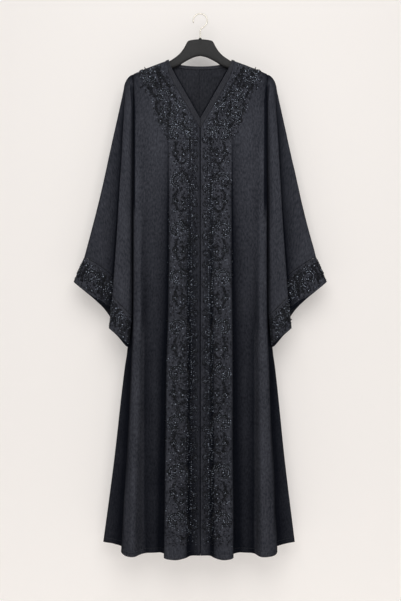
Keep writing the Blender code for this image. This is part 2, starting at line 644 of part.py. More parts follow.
def lace_places(points):
    """Fractional rows and columns of a front where the lace's points stand, its pattern coordinates and extra lift."""
    first, last = LACE_BAND_COLUMNS
    strips = last - first
    share = np.linspace(0, 1, strips + 1)
    rows, columns = [], []
    for line in LACE_SHOULDER_ROWS:
        row_x = on_grid(points, np.full(points.shape[1], line.front_row), np.arange(points.shape[1]))[:, 0]
        x = (line.start_x + (line.end_x - line.start_x) * share) * MM
        rows.append(np.full(len(share), line.front_row))
        columns.append(np.interp(x, np.maximum.accumulate(row_x), np.arange(points.shape[1])))
    for station in LACE_STATIONS:
        start_z = station.start_height * MM
        start_x = max((start_z - FRONT_NECK_Z) / V_SLOPE + LACE_FROM_V_EDGE, LACE_START_X)
        x = start_x + (station.end_x * MM - start_x) * share
        z = start_z + (station.end_height * MM - start_z) * share
        placed = [place_on_grid(points, a, b) for a, b in zip(x, z)]
        rows.append([p[0] for p in placed])
        columns.append([p[1] for p in placed])
    foot_z = points[-1, first : last + 1, 2].min() + LACE_FOOT_ABOVE_HEM
    head_z = LACE_STATIONS[-1].end_height * MM
    count = round((head_z - foot_z) / LACE_REPEAT * LACE_ROWS_PER_REPEAT)
    for k in range(1, count + 1):
        z = head_z + (foot_z - head_z) * k / count
        at = np.arange(first, last + 1, dtype=float)
        wave = 0.5 - 0.5 * math.cos(2 * math.pi * (k / LACE_ROWS_PER_REPEAT))
        at[-1] -= LACE_SCALLOP * (1 - wave)
        at[0] += LACE_SCALLOP * wave
        low = np.floor(at).astype(int)
        column_z = points[:, low, 2] * (1 - at + low) + points[:, low + 1, 2] * (at - low)
        rows.append([np.interp(-z, -column_z[:, c], np.arange(len(points))) for c in range(len(at))])
        columns.append(at)
    rows, columns = np.array(rows, float), np.array(columns, float)
    head_rows = len(LACE_SHOULDER_ROWS) + len(LACE_STATIONS)
    along = (np.arange(len(rows)) - head_rows)[:, None] / LACE_ROWS_PER_REPEAT + 0.0 * share
    extra = LACE_YOKE_LIFT * np.clip(-along * LACE_ROWS_PER_REPEAT / 2, 0, 1)
    return rows, columns, along, share + 0.0 * along, extra


def build_fronts(collection, cloth, trim, lace):
    """Both fronts, with the bands along their V edges and the lace that lies on them."""
    for side, mirrored, spread in (("left", False, None), ("right", True, RIGHT_FRONT_SPREAD)):
        points = body_sheet(FRONT_FOLDS, front_top_z, spread)
        normals = grid_normals(points)
        sheet_object(f"front_{side}", points, WALL, collection, cloth, mirrored)
        rows, columns = np.meshgrid(NECK_BAND_ROWS, np.arange(NECK_BAND_LAST_COLUMN + 2.0), indexing="ij")
        columns[:, -1] = NECK_BAND_SHOULDER_ENDS
        middle = 0.5 * WALL + TRIM_GAP + 0.5 * TRIM_WALL
        band = on_grid(points, rows, columns) + on_grid(normals, rows, columns) * middle
        sheet_object(f"neck_band_{side}", band, TRIM_WALL, collection, trim, mirrored)
        rows, columns, along, across, extra = lace_places(points)
        at, out = on_grid(points, rows, columns), on_grid(normals, rows, columns)
        under = at + out * (0.5 * WALL + TRIM_GAP + extra[..., None])
        raised = TRIM_WALL + LACE_RELIEF * motif_height(along, across)[..., None]
        relief_object(f"lace_{side}", under, under + out * raised, collection, lace, mirrored)


def build_backs(collection, cloth, trim):
    """Both halves of the back, which meet at the centre-back seam, and the band inside its neckline."""
    for side, mirrored, spread in (("left", False, None), ("right", True, RIGHT_BACK_SPREAD)):
        points = body_sheet(BACK_FOLDS, back_top_z, spread)
        sheet_object(f"back_{side}", points, WALL, collection, cloth, mirrored)
    columns = np.arange(1, BACK_BAND_LAST_COLUMN + 1)
    rows, columns = np.meshgrid(BACK_BAND_ROWS, columns, indexing="ij")
    middle = 0.5 * WALL + TRIM_GAP + 0.5 * TRIM_WALL
    half = on_grid(points, rows, columns) + on_grid(grid_normals(points), rows, columns) * middle
    whole = np.concatenate([half[:, ::-1] * [-1, 1, 1], half], axis=1)
    sheet_object("neck_band_back", whole, TRIM_WALL, collection, trim)


def build_sleeves(collection, cloth, lace):
    """Both sleeves, each cut as a front and a back half, and their embroidered cuffs."""
    front, back = sleeve_halves(sleeve_sheet())
    cuff = cuff_sheet()
    normals = grid_normals(cuff)
    rows, columns = cuff.shape[:2]
    along, across = np.meshgrid(np.linspace(0, 1, rows), np.linspace(0, 6, columns), indexing="ij")
    motif = np.maximum(np.cos(2 * math.pi * across), -0.6 * np.cos(2 * math.pi * across)) * np.sin(math.pi * along)
    inner = cuff - normals * 0.5 * WALL
    outer = cuff + normals * (0.5 * WALL + CUFF_RELIEF * motif[..., None])
    for side, mirrored in (("left", False), ("right", True)):
        sheet_object(f"sleeve_front_{side}", front, WALL, collection, cloth, mirrored)
        sheet_object(f"sleeve_back_{side}", back, WALL, collection, cloth, mirrored)
        relief_object(f"cuff_{side}", inner, outer, collection, lace, mirrored)


def main():
    """Clears the scene and builds every piece."""
    for old in list(bpy.data.objects):
        bpy.data.objects.remove(old)
    abaya = bpy.data.collections.new("abaya_cloak")
    cutters = bpy.data.collections.new("cutters")
    bpy.context.scene.collection.children.link(abaya)
    bpy.context.scene.collection.children.link(cutters)
    cloth = material("crepe", CLOTH_COLOUR, 0.85)
    trim = material("neck_band", TRIM_COLOUR, 0.8)
    plastic = material("hanger_plastic", HANGER_COLOUR, 0.45)
    steel = material("hook_steel", STEEL_COLOUR, 0.3, 1.0)
    build_hanger(abaya, cutters, plastic, steel)
    lace = material("lace", LACE_COLOUR, 0.6)
    build_fronts(abaya, cloth, trim, lace)
    build_backs(abaya, cloth, trim)
    build_sleeves(abaya, cloth, lace)


main()
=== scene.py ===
"""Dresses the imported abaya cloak: fine cloth, corded embroidery with beads, stitching, hanger and studio."""

import logging
import math
from collections.abc import Callable, Iterable
from dataclasses import dataclass, field
from enum import Enum

import bpy
import numpy as np
from bpy.types import Material, Mesh, Node, NodeSocket, NodeTree, Object
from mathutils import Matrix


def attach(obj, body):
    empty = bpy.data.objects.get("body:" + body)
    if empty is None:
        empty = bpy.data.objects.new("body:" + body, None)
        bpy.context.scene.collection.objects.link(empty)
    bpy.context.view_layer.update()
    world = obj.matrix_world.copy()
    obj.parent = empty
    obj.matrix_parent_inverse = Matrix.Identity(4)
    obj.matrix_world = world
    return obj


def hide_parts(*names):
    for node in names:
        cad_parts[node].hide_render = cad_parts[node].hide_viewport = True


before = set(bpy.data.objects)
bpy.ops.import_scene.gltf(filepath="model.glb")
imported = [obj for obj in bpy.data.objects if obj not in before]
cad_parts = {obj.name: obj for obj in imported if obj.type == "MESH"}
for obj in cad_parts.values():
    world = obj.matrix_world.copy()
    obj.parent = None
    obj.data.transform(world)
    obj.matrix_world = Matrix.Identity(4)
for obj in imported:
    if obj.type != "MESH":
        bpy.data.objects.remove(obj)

LOG = logging.getLogger("abaya")
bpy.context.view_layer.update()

Array = np.ndarray
Formula = Callable[[Array], Array]  # a value for each place
Colour = tuple[float, float, float]
Place = tuple[float, float]
Box = tuple[float, float, float, float]
MM = 0.001
TURN = 2 * math.pi

# Sizes that the solids share with this dressing.
NECK_HALF_WIDTH = 89.5 * MM
NECK_POINT_Z = -131 * MM
FRONT_NECK_Z = -299.5 * MM
V_SLOPE = 1.762
V_TURN_POWER = 14
BACK_NECK_Z = -146 * MM
SHOULDER_SEAM_Y = 0.42 * MM
RIDGE_SLOPE = 0.34
RIDGE_CURVE = 0.56
ARMHOLE_X = 189.9 * MM
CUFF_SEAM_GAP = 0.5 * MM
BODY_LEVELS = (-0.17, -0.33, -0.67, -0.84, -1.0, -1.27, -1.53)
SPREAD_LEVELS = (-1.53, -1.0, -0.84)  # hem, hip and waist
SLEEVE_LEVELS = (0.0, 0.25, 0.7, 1.0)
DOME_DEPTH = 15 * MM
DOME_REACH = 27 * MM
DOME_HEIGHT = 40 * MM
DOME_BASE_Z = -212 * MM

# Fold lines of the panels, mm: name, distance from the centre and depth at each of BODY_LEVELS, height of the
# hem, and how many facets of the solid there are up to the next line.
FRONT_FOLDS = (
    ("centre", (0.5, 0.5, 0.5, 0.5, 0.5, 0.5, 0.5), (-11, -17, -24, -28, -31, -37.4, -44), -1525.5, 2),
    ("groove", (25, 25, 26, 27, 27, 27.5, 28), (-10.8, -16.6, -19, -22, -24, -29.9, -36), -1528, 2),
    ("band_start", (40, 40, 40, 40, 40, 40.5, 41), (-10.6, -17.6, -27, -32, -35, -41.9, -49), -1531, 2),
    ("band", (62, 62, 62, 62, 63, 62.5, 62), (-10.4, -18.6, -30, -35, -39, -46.8, -55), -1535, 2),
    ("edge_crest", (83, 83, 83, 84, 85, 84.5, 84), (-10.2, -18.6, -31, -36, -41, -47.9, -55), -1533, 1),
    ("edge", (88.2, 88.6, 89, 90, 91, 91.5, 92), (-10.1, -18.3, -26, -31, -36, -42.4, -49), -1530, 1),
    ("tuck", (89.6, 92, 87, 87, 88, 87.5, 87), (-10.1, -17.9, -19, -21, -25, -28.9, -33), -1527, 2),
    ("valley", (108, 108, 103, 103, 105, 105.5, 106), (-11.4, -17.2, -14, -13.5, -13.5, -15.2, -17),
     -1524, 1),
    ("floor", (130, 130, 128, 127, 127, 127, 127), (-13.5, -17, -15, -15, -17, -19.5, -22), -1523, 1),
    ("rise", (150, 150, 150, 150, 150, 150, 150), (-15, -17.5, -15, -14, -14.5, -16, -18), -1526, 2),
    ("crest", (168, 168, 169, 168, 168, 170, 172), (-15.3, -19, -24, -29, -35, -41.9, -49), -1528, 1),
    ("side_crest", (181, 182, 183, 184, 189, 196, 204), (-15.3, -19.5, -23, -27, -33, -38.9, -45), -1526, 1),
    ("side", (187, 187.6, 188.4, 189.4, 194, 204, 216), (-15, -17, -18, -20, -23, -28.4, -34), -1517, 1),
    ("side_tuck", (188.2, 187.8, 188, 189, 192, 201.5, 213), (-14.8, -13, -10, -12, -13, -15, -17), -1509, 1),
    ("flank", (188.7, 187.6, 187.6, 188, 200, 219, 242), (-14.7, -11, -5, -6, -5, -3.5, -2), -1503.5, 2),
    ("seam", (189, 187.6, 187.6, 188.2, 211.2, 239.5, 271.5), (-14.6, -9, -0.95, -0.95, -0.95, 2, 5),
     -1499.5, 0),
)
BACK_FOLDS = (
    ("centre", (0.15,) * 7, (9.6, 14, 15, 16, 17, 20.4, 24), -1526, 1),
    ("centre_flat", (6,) * 7, (9.6, 14, 15, 16, 17, 20.4, 24), -1526, 1),
    ("inner_rise", (30,) * 7, (9.7, 15, 18, 20, 23, 28.9, 35), -1527, 2),
    ("inner_crest", (60,) * 7, (9.9, 15.5, 21, 24, 28, 35.4, 43), -1528, 2),
    ("inner_fall", (84,) * 7, (10.1, 15.5, 20.5, 23, 26.5, 32.1, 38), -1526, 1),
    ("neck_point", (89.5, 90, 92, 92, 92, 92, 92), (10.1, 15.5, 19, 21.5, 24, 28.9, 34), -1525, 1),
    ("valley", (118,) * 7, (12, 15.5, 15, 15.5, 16, 18, 20), -1522, 1),
    ("floor", (142, 142, 142, 142, 143, 144.5, 146), (14, 16, 16.5, 17, 19, 22.4, 26), -1521, 2),
    ("crest", (166, 166, 167, 168, 170, 175.9, 182), (15.2, 17.5, 22, 25, 30, 36.9, 44), -1521, 2),
    ("side_crest", (181, 181, 182, 182, 190, 202.2, 215), (15.3, 17.5, 20, 22, 26, 30.9, 36), -1514, 1),
    ("side", (187, 187.4, 187.6, 187.8, 198, 214, 235), (15, 14, 13, 14, 16, 18.9, 22), -1507, 1),
    ("flank", (188.7, 187.6, 187.6, 188, 205, 228, 254), (14.8, 11, 5, 5, 7, 10.4, 14), -1502.5, 1),
    ("seam", (189, 187.6, 187.6, 188.2, 211.2, 239.5, 271.5), (14.6, 9, 0.95, 0.95, 0.95, 3.9, 7),
     -1499.5, 0),
)
# Fold lines of a sleeve, mm: name, cap angle in degrees, distance from the centre and depth at the cap, the
# upper arm, the underarm, the cuff seam and the cuff's edge, heights of the first and last two, and facets.
SLEEVE_FOLDS = (
    ("front_seam", -90, (189.9, 189.6, 189.6, 192.6, 201), (-13, -9, -0.95, -7, -8), (-235, -854, -947), 1),
    ("inner_roll", -78, (194, 193.6, 193.6, 197, 204.5), (-14.6, -13, -9, -12.5, -13), (-228, -851, -944), 1),
    ("inner_crest", -66, (199, 198, 199, 205, 211.5), (-14, -16.5, -16.5, -17, -18), (-221, -844, -939), 2),
    ("panel", -52, (206, 207, 216, 227, 234), (-11.8, -18, -20, -20, -21), (-214, -823, -912), 2),
    ("fold_edge", -40, (210, 219, 234, 246, 255), (-9.6, -15.5, -18.5, -18, -19), (-212, -804, -893), 1),
    ("fold_roll", -36, (211.2, 219.5, 234, 246.5, 256), (-8.9, -12, -13.5, -13, -14), (-212, -801, -890), 1),
    ("fold_turn", -30, (212.8, 216.5, 222, 227, 232), (-7.5, -9, -9, -8.5, -8.5), (-211, -776, -876), 1),
    ("outer_start", -24, (214, 219.0, 229, 237, 238), (-6.1, -4.6, -3.4, -2.6, -3), (-211, -753, -857), 2),
    ("outer_panel", -14, (215.6, 229, 262, 286, 300), (-3.6, -3.6, -3.6, -3.6, -6), (-210, -713, -808.5), 2),
    ("outer_roll", -6, (216.3, 240, 286, 322, 350), (-1.6, -3.4, -4, -4, -6), (-211, -693, -768), 1),
    ("top_edge", 0, (216.4, 242.8, 291, 328.6, 359.3), (0, 0.6, 1, 1, 1), (-212, -689, -759.5), 1),
    ("back_roll", 6, (216.3, 240, 286, 322, 350), (1.6, 4.6, 6, 6, 8), (-211, -693, -768), 2),
    ("back_outer", 22, (214.3, 229, 258, 284, 300), (5.6, 9, 11, 12, 14), (-209, -721, -811), 2),
    ("back_valley", 40, (210, 215, 235, 256, 269), (9.6, 11, 9, 9, 10), (-212, -750, -842), 2),
    ("back_crest", 58, (203.7, 206, 215, 229, 237), (12.7, 16, 17, 16, 16), (-215, -789, -893), 2),
    ("back_inner", 75, (196.4, 196.4, 198, 210, 216), (14.5, 14.6, 12, 8, 7), (-226, -832, -925), 1),
    ("back_seam", 90, (189.9, 189.6, 189.6, 192.6, 201), (13, 9, 0.95, -5, -6), (-235, -854, -947), 0),
)
# Numbers of fold lines: the sleeve's over-arm seam, where its inner arc ends, and a front's side crest.
OVERARM_FOLD = 11
TURN_FOLD = 6
SIDE_CREST_FOLD = 11
# How far up from the cuff's edge the painted dark lip reaches, by places across, mm: on its inner and its
# outer arc.
INNER_LIP = ((201, 211, 222, 234, 246), (8.0, 8.0, 6.0, 3.0, 0.0))
OUTER_LIP = ((238, 262, 280, 292, 302, 325), (11.0, 10.0, 9.0, 6.5, 3.0, 0.0))
# The wearer's right half hangs wider: mm added across at the hip and at the hem, by fold line.
RIGHT_FRONT_SPREAD = {
    "groove": (-1, -2), "band": (2, 3), "edge_crest": (4, 7), "edge": (4, 8), "tuck": (4, 8),
    "valley": (2, 4), "rise": (2, 9), "crest": (3, 13), "side_crest": (0, 4), "side": (0, 5),
    "side_tuck": (0, 5), "flank": (1, 4), "seam": (1.5, 7),
}
RIGHT_BACK_SPREAD = {"side": (0, 4), "flank": (1, 5), "seam": (1.5, 7)}
# The hanger's right half: distance across, top, bottom, half depth and squareness of each section, in mm.
HANGER_STATIONS = (
    (0, -71.0, -118, 6.2, 4.5), (14, -72.0, -120.8, 6.2, 4.5), (27, -74.0, -126, 6.2, 4.5),
    (34, -75.8, -129.6, 6.2, 4.5), (38, -80.4, -131.8, 6.2, 4.5), (41.8, -88.5, -133.8, 6.2, 4.3),
    (47, -97.6, -137, 6.2, 4.0), (55, -108.4, -142.6, 6.2, 3.6), (66, -119.0, -148, 6.2, 3.2),
    (78, -127.2, -152.8, 6.0, 2.8), (90, -134.4, -157.5, 6.0, 2.4), (110, -141.2, -166, 8.4, 2.2),
    (140, -153, -178, 11.2, 2.1), (168, -165.4, -192, 11.8, 2.0), (186, -175, -202, 10.4, 2.0),
    (198, -183, -206, 8.2, 2.0), (206, -190.5, -207.5, 5.6, 2.0), (210.6, -197, -206.5, 2.8, 2.0),
)


class Side(Enum):
    """Which half of the cloak a piece belongs to, by the wearer's hand."""

    LEFT = 1
    RIGHT = -1

    @property
    def word(self) -> str:
        """The side's name as it stands at the end of a piece's name."""
        return self.name.lower()

    @property
    def flip(self) -> Array:
        """What carries a point on the wearer's left to this side."""
        return np.array([self.value, 1, 1])


CLOTH = 0.9 * MM  # wall of the finished cloth
CAD_WALL = 1.6 * MM  # wall of the solids
TRIM_GAP = 0.6 * MM
TRIM_WALL = 1 * MM
HEM_TURN = 13 * MM  # how far up the hem is turned
HEM_STEP = 0.28 * MM  # how far the turned-up hem stands out
# How far the back reaches out behind the sleeve's inner edge: heights, then distances in mm.
BEHIND_SLEEVE = (
    (-0.97, -0.93, -0.88, -0.84, -0.80, -0.75, -0.68, -0.42, -0.34, -0.25, -0.20),
    (0, 3.5, 6.5, 7.0, 5.5, 3.5, 1.3, 1.5, 3.2, 2.8, 0),
)
BACK_LAP = (-3 * MM, -1.3 * MM)  # across and inwards, of the edge that lies under the other half
SIDE_LAP = (1.8 * MM, 1 * MM)  # on and inwards, of the back's side edge under the front's, below the sleeve
FRONT_LAP = (-2.2 * MM, 1.3 * MM)  # the right front goes this far behind the left one just above the hem
# Places across where the painted dark gap beside the sleeve lies, and where the side crest's flank, with less
# painted shade, begins.
ARM_GAP = {Side.LEFT: (0.1800, 0.1925), Side.RIGHT: (0.1832, 0.1948)}
SIDE_FLANK = {Side.LEFT: (0.1505, 0.1545), Side.RIGHT: (0.1560, 0.1605)}
# Painted shade: each neighbour's crest deepens the painted shade of the piece beside it.
# The sleeve's crest beside a front: its place across, then heights and its depth at each.
SLEEVE_CREST_X = 0.197
SLEEVE_CREST = ((-0.93, -0.92, -0.5, -0.28), (1.0, -0.018, -0.018, -0.026))
BODY_CREST = (0.178, -0.018)  # place across and depth of the body's crest beside a sleeve
SLEEVE_SHADE = 0.78  # how much of its folds' shade a sleeve shows


# ---- curves and grids
def unit(vectors: Array) -> Array:
    """Each vector with its length made one."""
    return vectors / np.maximum(np.linalg.norm(vectors, axis=-1, keepdims=True), 1e-12)


def run_lengths(line: Array) -> Array:
    """Length along a line at each of its points, from 0."""
    return np.concatenate([[0.0], np.cumsum(np.linalg.norm(np.diff(line, axis=0), axis=1))])


def read_along(at: Array, lengths: Array, values: Array) -> Array:
    """Rows of values read at lengths along a line, straight between its points."""
    return np.stack([np.interp(at, lengths, values[:, k]) for k in range(values.shape[1])], -1)


def hermite(t: Array, step: Array, ends: tuple[Array, Array], slopes: tuple[Array, Array]) -> Array:
    """Cubic between two values with a slope at each.

    Args:
        t: Share of the way from one to the other.
        step: Distance between them.
        ends: The two values.
        slopes: The slope at each.

    Returns:
        The cubic's value.
    """
    return (
        (2 * t**3 - 3 * t**2 + 1) * ends[0]
        + (t**3 - 2 * t**2 + t) * step * slopes[0]
        + (3 * t**2 - 2 * t**3) * ends[1]
        + (t**3 - t**2) * step * slopes[1]
    )


def monotone(knots: Array, values: Array, at: Array) -> Array:
    """Cubic through the values that never overshoots: each knot's slope is the harmonic mean of its sides.

    Args:
        knots: Rising places of the values.
        values: The value at each knot.
        at: Places to read.

    Returns:
        The curve's value at each place.
    """
    knots, values = np.asarray(knots, float), np.asarray(values, float)
    step = np.diff(knots)
    rise = np.diff(values) / step
    with np.errstate(divide="ignore", invalid="ignore"):
        mean = 2.0 / (1.0 / rise[:-1] + 1.0 / rise[1:])
    slope = np.concatenate([rise[:1], np.where(rise[:-1] * rise[1:] > 0, mean, 0.0), rise[-1:]])
    at = np.clip(at, knots[0], knots[-1])
    i = np.clip(np.searchsorted(knots, at, side="right") - 1, 0, len(step) - 1)
    t = (at - knots[i]) / step[i]
    return hermite(t, step[i], (values[i], values[i + 1]), (slope[i], slope[i + 1]))


def spline_weights(knots: Array, at: Array) -> Array:
    """Matrix that carries the values at the knots to a Catmull-Rom curve at each place, uneven knots allowed.

    Args:
        knots: Rising places of the fold lines.
        at: Places to read.

    Returns:
        One row of weights for each place.
    """
    count = len(knots)
    step = np.diff(knots)
    slope = np.zeros((count, count))
    k = np.arange(count)
    low, high = np.maximum(k - 1, 0), np.minimum(k + 1, count - 1)
    width = knots[high] - knots[low]
    slope[k, high] += 1.0 / width
    slope[k, low] -= 1.0 / width
    i = np.clip(np.searchsorted(knots, at, side="right") - 1, 0, count - 2)
    t = ((at - knots[i]) / step[i])[:, None]
    whole = np.eye(count)
    return hermite(t, step[i][:, None], (whole[i], whole[i + 1]), (slope[i], slope[i + 1]))


def bilinear(values: Array, rows: Array, columns: Array) -> Array:
    """Values of a grid at fractional rows and columns, straight between its own.

    Args:
        values: Rows, columns and one more axis.
        rows: Fractional row numbers.
        columns: Fractional column numbers, of the same shape.

    Returns:
        Values with the shape of rows and one more axis.
    """
    r = np.clip(np.floor(rows).astype(int), 0, values.shape[0] - 2)
    c = np.clip(np.floor(columns).astype(int), 0, values.shape[1] - 2)
    down, over = (rows - r)[..., None], (columns - c)[..., None]
    upper = values[r, c] * (1 - over) + values[r, c + 1] * over
    lower = values[r + 1, c] * (1 - over) + values[r + 1, c + 1] * over
    return upper * (1 - down) + lower * down


def smooth(low: float, high: float, at: Array) -> Array:
    """Smoothstep: 0 below low, 1 above high, level at both ends (low may be the higher number)."""
    t = np.clip((at - low) / (high - low), 0, 1)
    return t * t * (3 - 2 * t)


def fold_places(folds: tuple, level: int, finer: int) -> tuple[Array, Array]:
    """Knots of the fold lines, and the columns between them.

    Args:
        folds: Rows of a fold table, whose items 1 or 2 and the next hold distances and depths.
        level: Which of the levels spaces the knots.
        finer: Columns for each facet of the solid.

    Returns:
        The knots, each the square root of the distance from the last further on, and the columns' places.
    """
    first = 1 if isinstance(folds[0][1], tuple) else 2
    points = np.array([(f[first][level], f[first + 1][level]) for f in folds], float)
    gaps = np.sqrt(np.linalg.norm(np.diff(points, axis=0), axis=1))
    knots = np.concatenate([[0.0], np.cumsum(gaps)])
    places = [
        np.linspace(knots[i], knots[i + 1], f[-1] * finer, endpoint=False) for i, f in enumerate(folds[:-1])
    ]
    return knots, np.concatenate([*places, knots[-1:]])


def column_of(folds: tuple, line: int, finer: int) -> int:
    """Column of a fold line, from its number in the table and the columns for each facet."""
    return sum(f[-1] for f in folds[:line]) * finer


def cloth_lengths(points: Array) -> Array:
    """Places along the cloth in metres: lengths across each row, and down each column to one mean hem."""
    across = np.linalg.norm(np.diff(points, axis=1), axis=-1)
    across = np.concatenate([np.zeros((len(points), 1)), np.cumsum(across, axis=1)], axis=1)
    down = np.linalg.norm(np.diff(points, axis=0), axis=-1)
    down = np.concatenate([np.zeros((1, points.shape[1])), np.cumsum(down, axis=0)], axis=0)
    return np.stack([across, down - down[-1] + down[-1].mean()], axis=-1)


# Painted shade: this mask is painted into the colour of the cloth and its stitches, darkest in folds.
def fold_shade(points: Array, front: float, beside: Array | None = None) -> Array:
    """How deep each point lies in its own row's folds, from 0 on a crest towards 1 at the foot of a fold.

    The light that reaches a point from ahead is cut off on each side at the steepest line to a point of
    the row that stands further forward. The shade is the square root of what is missing from the mean of
    those two angles' cosines.

    Args:
        points: Grid whose rows run across the folds.
        front: 1 where the sheet faces -Y, -1 where it faces +Y.
        beside: Place across and depth of a neighbour's crest at each row, which shades the piece too.

    Returns:
        The shade at each point.
    """
    x, y = points[..., 0], points[..., 1] * front
    over_x, over_y = x, y
    if beside is not None:
        over_x = np.concatenate([x, beside[:, :1]], axis=1)
        over_y = np.concatenate([y, beside[:, 1:]], axis=1)
    away = over_x[:, None, :] - x[:, :, None]
    rise = y[:, :, None] - over_y[:, None, :]
    slope = np.maximum(rise, 0) / np.maximum(np.abs(away), 0.6 * MM)
    right = np.max(np.where(away > 0, slope, 0), axis=2)
    left = np.max(np.where(away < 0, slope, 0), axis=2)
    return np.sqrt(1 - 0.5 * (1 / np.sqrt(1 + right**2) + 1 / np.sqrt(1 + left**2)))


@dataclass
class Grid:
    """A surface as rows and columns of points, with the cloth's own lengths and its shade at each.

    The inner shade is the reverse side's, and is the same where it isn't given.
    """

    points: Array
    cloth: Array
    outward: float = 1.0
    shade: Array | None = None
    inner: Array | None = None

    def __post_init__(self) -> None:
        """Leaves the cloth open to the light where no shade is given."""
        if self.shade is None:
            self.shade = np.zeros(self.points.shape[:2])

    def normals(self) -> Array:
        """Unit normals out of the garment: the way down crossed with the way across."""
        down, across = np.gradient(self.points, axis=0), np.gradient(self.points, axis=1)
        return unit(np.cross(down, across)) * self.outward

    def at(self, rows: Array, columns: Array) -> tuple[Array, Array, Array]:
        """Points, outward normals and cloth lengths at fractional rows and columns."""
        rows, columns = np.broadcast_arrays(np.asarray(rows, float), np.asarray(columns, float))
        point, normal, cloth = (bilinear(v, rows, columns) for v in (self.points, self.normals(), self.cloth))
        return point, unit(normal), cloth

    def shade_near(self, rows: Array, columns: Array) -> Array:
        """The shade of the grid's own points nearest to fractional rows and columns."""
        return self.shade[np.rint(rows).astype(int), np.rint(columns).astype(int)]

    def moved(self, amount: Array | float) -> "Grid":
        """The grid carried along its own normals by an amount, the same or one for each point."""
        lift = np.broadcast_to(amount, self.points.shape[:2])[..., None]
        return Grid(self.points + self.normals() * lift, self.cloth, self.outward, self.shade)


def crossing(lengths: Array, value: float) -> Array:
    """For each row of growing lengths, the fractional place where it passes a value."""
    row = np.arange(len(lengths))
    place = np.clip(np.sum(lengths < value, axis=1) - 1, 0, lengths.shape[1] - 2)
    low, high = lengths[row, place], lengths[row, place + 1]
    return place + np.clip((value - low) / np.maximum(high - low, 1e-9), 0, 1)


def ripples(across: Array, down: Array, seed: int, widths: tuple[float, ...], drift: float) -> Array:
    """Soft uneven waves in cloth: a sum of sines across it whose places wander slowly down it.

    Args:
        across: Lengths across the cloth, metres.
        down: Lengths down the cloth, metres.
        seed: Fixes the waves' phases.
        widths: Wave lengths, metres; each wave's height is in proportion to the square root of its length.
        drift: How far a wave wanders sideways, as a share of its length for each metre down.

    Returns:
        Heights from about -1 to 1.
    """
    draw = np.random.default_rng(seed)
    total = np.zeros_like(across)
    for width in widths:
        phase, wander, pace = draw.uniform(0, TURN, 3)
        bend = drift * np.sin(down * (1.4 + pace * 0.5) + wander)
        swell = 0.55 + 0.45 * np.sin(down * (2.1 + 0.7 * wander) + pace)
        total += math.sqrt(width / max(widths)) * swell * np.sin(TURN * (across / width + bend) + phase)
    return total / len(widths) * 1.6


# ---- meshes
def new_object(name: str, mesh: Mesh, material: Material) -> Object:
    """Links a mesh to the scene as an object at the origin, with its material."""
    made = bpy.data.objects.new(name, mesh)
    bpy.context.scene.collection.objects.link(made)
    mesh.materials.append(material)
    return made


def quick_mesh(name: str, points: Array, faces: Array) -> Mesh:
    """A mesh from whole arrays: points as rows of three numbers, faces as rows of three or four corners."""
    mesh = bpy.data.meshes.new(name)
    sides = faces.shape[1]
    mesh.vertices.add(len(points))
    mesh.vertices.foreach_set("co", np.ascontiguousarray(points, np.float32).ravel())
    mesh.loops.add(faces.size)
    mesh.loops.foreach_set("vertex_index", np.ascontiguousarray(faces, np.int32).ravel())
    mesh.polygons.add(len(faces))
    mesh.polygons.foreach_set("loop_start", np.arange(0, faces.size, sides, dtype=np.int32))
    mesh.update(calc_edges=True)
    mesh.validate()
    mesh.shade_smooth()
    return mesh


def give_map(mesh: Mesh, name: str, places: Array) -> None:
    """A UV map whose value at each face corner is its vertex's place."""
    layer = mesh.uv_layers.new(name=name)
    corners = np.zeros(len(mesh.loops), np.int32)
    mesh.loops.foreach_get("vertex_index", corners)
    layer.data.foreach_set("uv", places[corners].astype(np.float32).ravel())


def give_value(mesh: Mesh, name: str, values: Array) -> None:
    """A number for each vertex, kept as a point attribute."""
    layer = mesh.attributes.new(name, "FLOAT", "POINT")
    layer.data.foreach_set("value", values.astype(np.float32))


def grid_faces(rows: int, columns: int, turned: bool) -> Array:
    """Quads of a grid of rows and columns; turned reverses each one."""
    index = np.arange(rows * columns).reshape(rows, columns)
    corners = [index[:-1, :-1], index[1:, :-1], index[1:, 1:], index[:-1, 1:]]
    if turned:
        corners.reverse()
    return np.stack(corners, axis=-1).reshape(-1, 4)


def cloth_object(
    name: str, grid: Grid, side: Side, wall: float, *finishes: Material
) -> Object:
    """A sheet of cloth: the grid's quads, faces out, half its wall to each side, and a map along the cloth.

    Args:
        name: The piece's name.
        grid: The surface on the wearer's left.
        side: RIGHT mirrors it across the centre.
        wall: Thickness of the cloth.
        finishes: Finish of its right side, and of its wrong side where that differs.

    Returns:
        The object, whose wall comes from a Solidify modifier.
    """
    rows, columns = grid.points.shape[:2]
    turned = (side.value * grid.outward) < 0
    mesh = quick_mesh(name, (grid.points * side.flip).reshape(-1, 3), grid_faces(rows, columns, turned))
    give_map(mesh, "cloth", grid.cloth.reshape(-1, 2) * [side.value, 1])
    # Painted shade: how far the face's colour is darkened in the cloth's folds.
    give_value(mesh, "fold", grid.shade.ravel())
    made = new_object(name, mesh, finishes[0])
    shell = made.modifiers.new("wall", "SOLIDIFY")
    if len(finishes) > 1:
        # Painted shade of the wrong side.
        give_value(mesh, "inner_fold", (grid.shade if grid.inner is None else grid.inner).ravel())
        mesh.materials.append(finishes[1])
        shell.material_offset = 1
    shell.thickness = wall
    shell.offset = 0.0
    shell.use_even_offset = False
    return made


def facing_out(points: Array, faces: Array) -> Array:
    """Triangles of a closed shape, all reversed if they enclose a negative volume, so that they face out."""
    a, b, c = (points[faces[:, k]] for k in range(3))
    return faces if np.sum(a * np.cross(b, c)) > 0 else faces[:, ::-1]


def ring_faces(count: int, sides: int) -> Array:
    """Triangles between rings of points that follow one another."""
    index = np.arange(count * sides).reshape(count, sides)
    after = np.roll(index, -1, axis=1)
    a, b, c, d = index[:-1], after[:-1], after[1:], index[1:]
    return np.concatenate([np.stack([a, b, c], -1).reshape(-1, 3), np.stack([a, c, d], -1).reshape(-1, 3)])


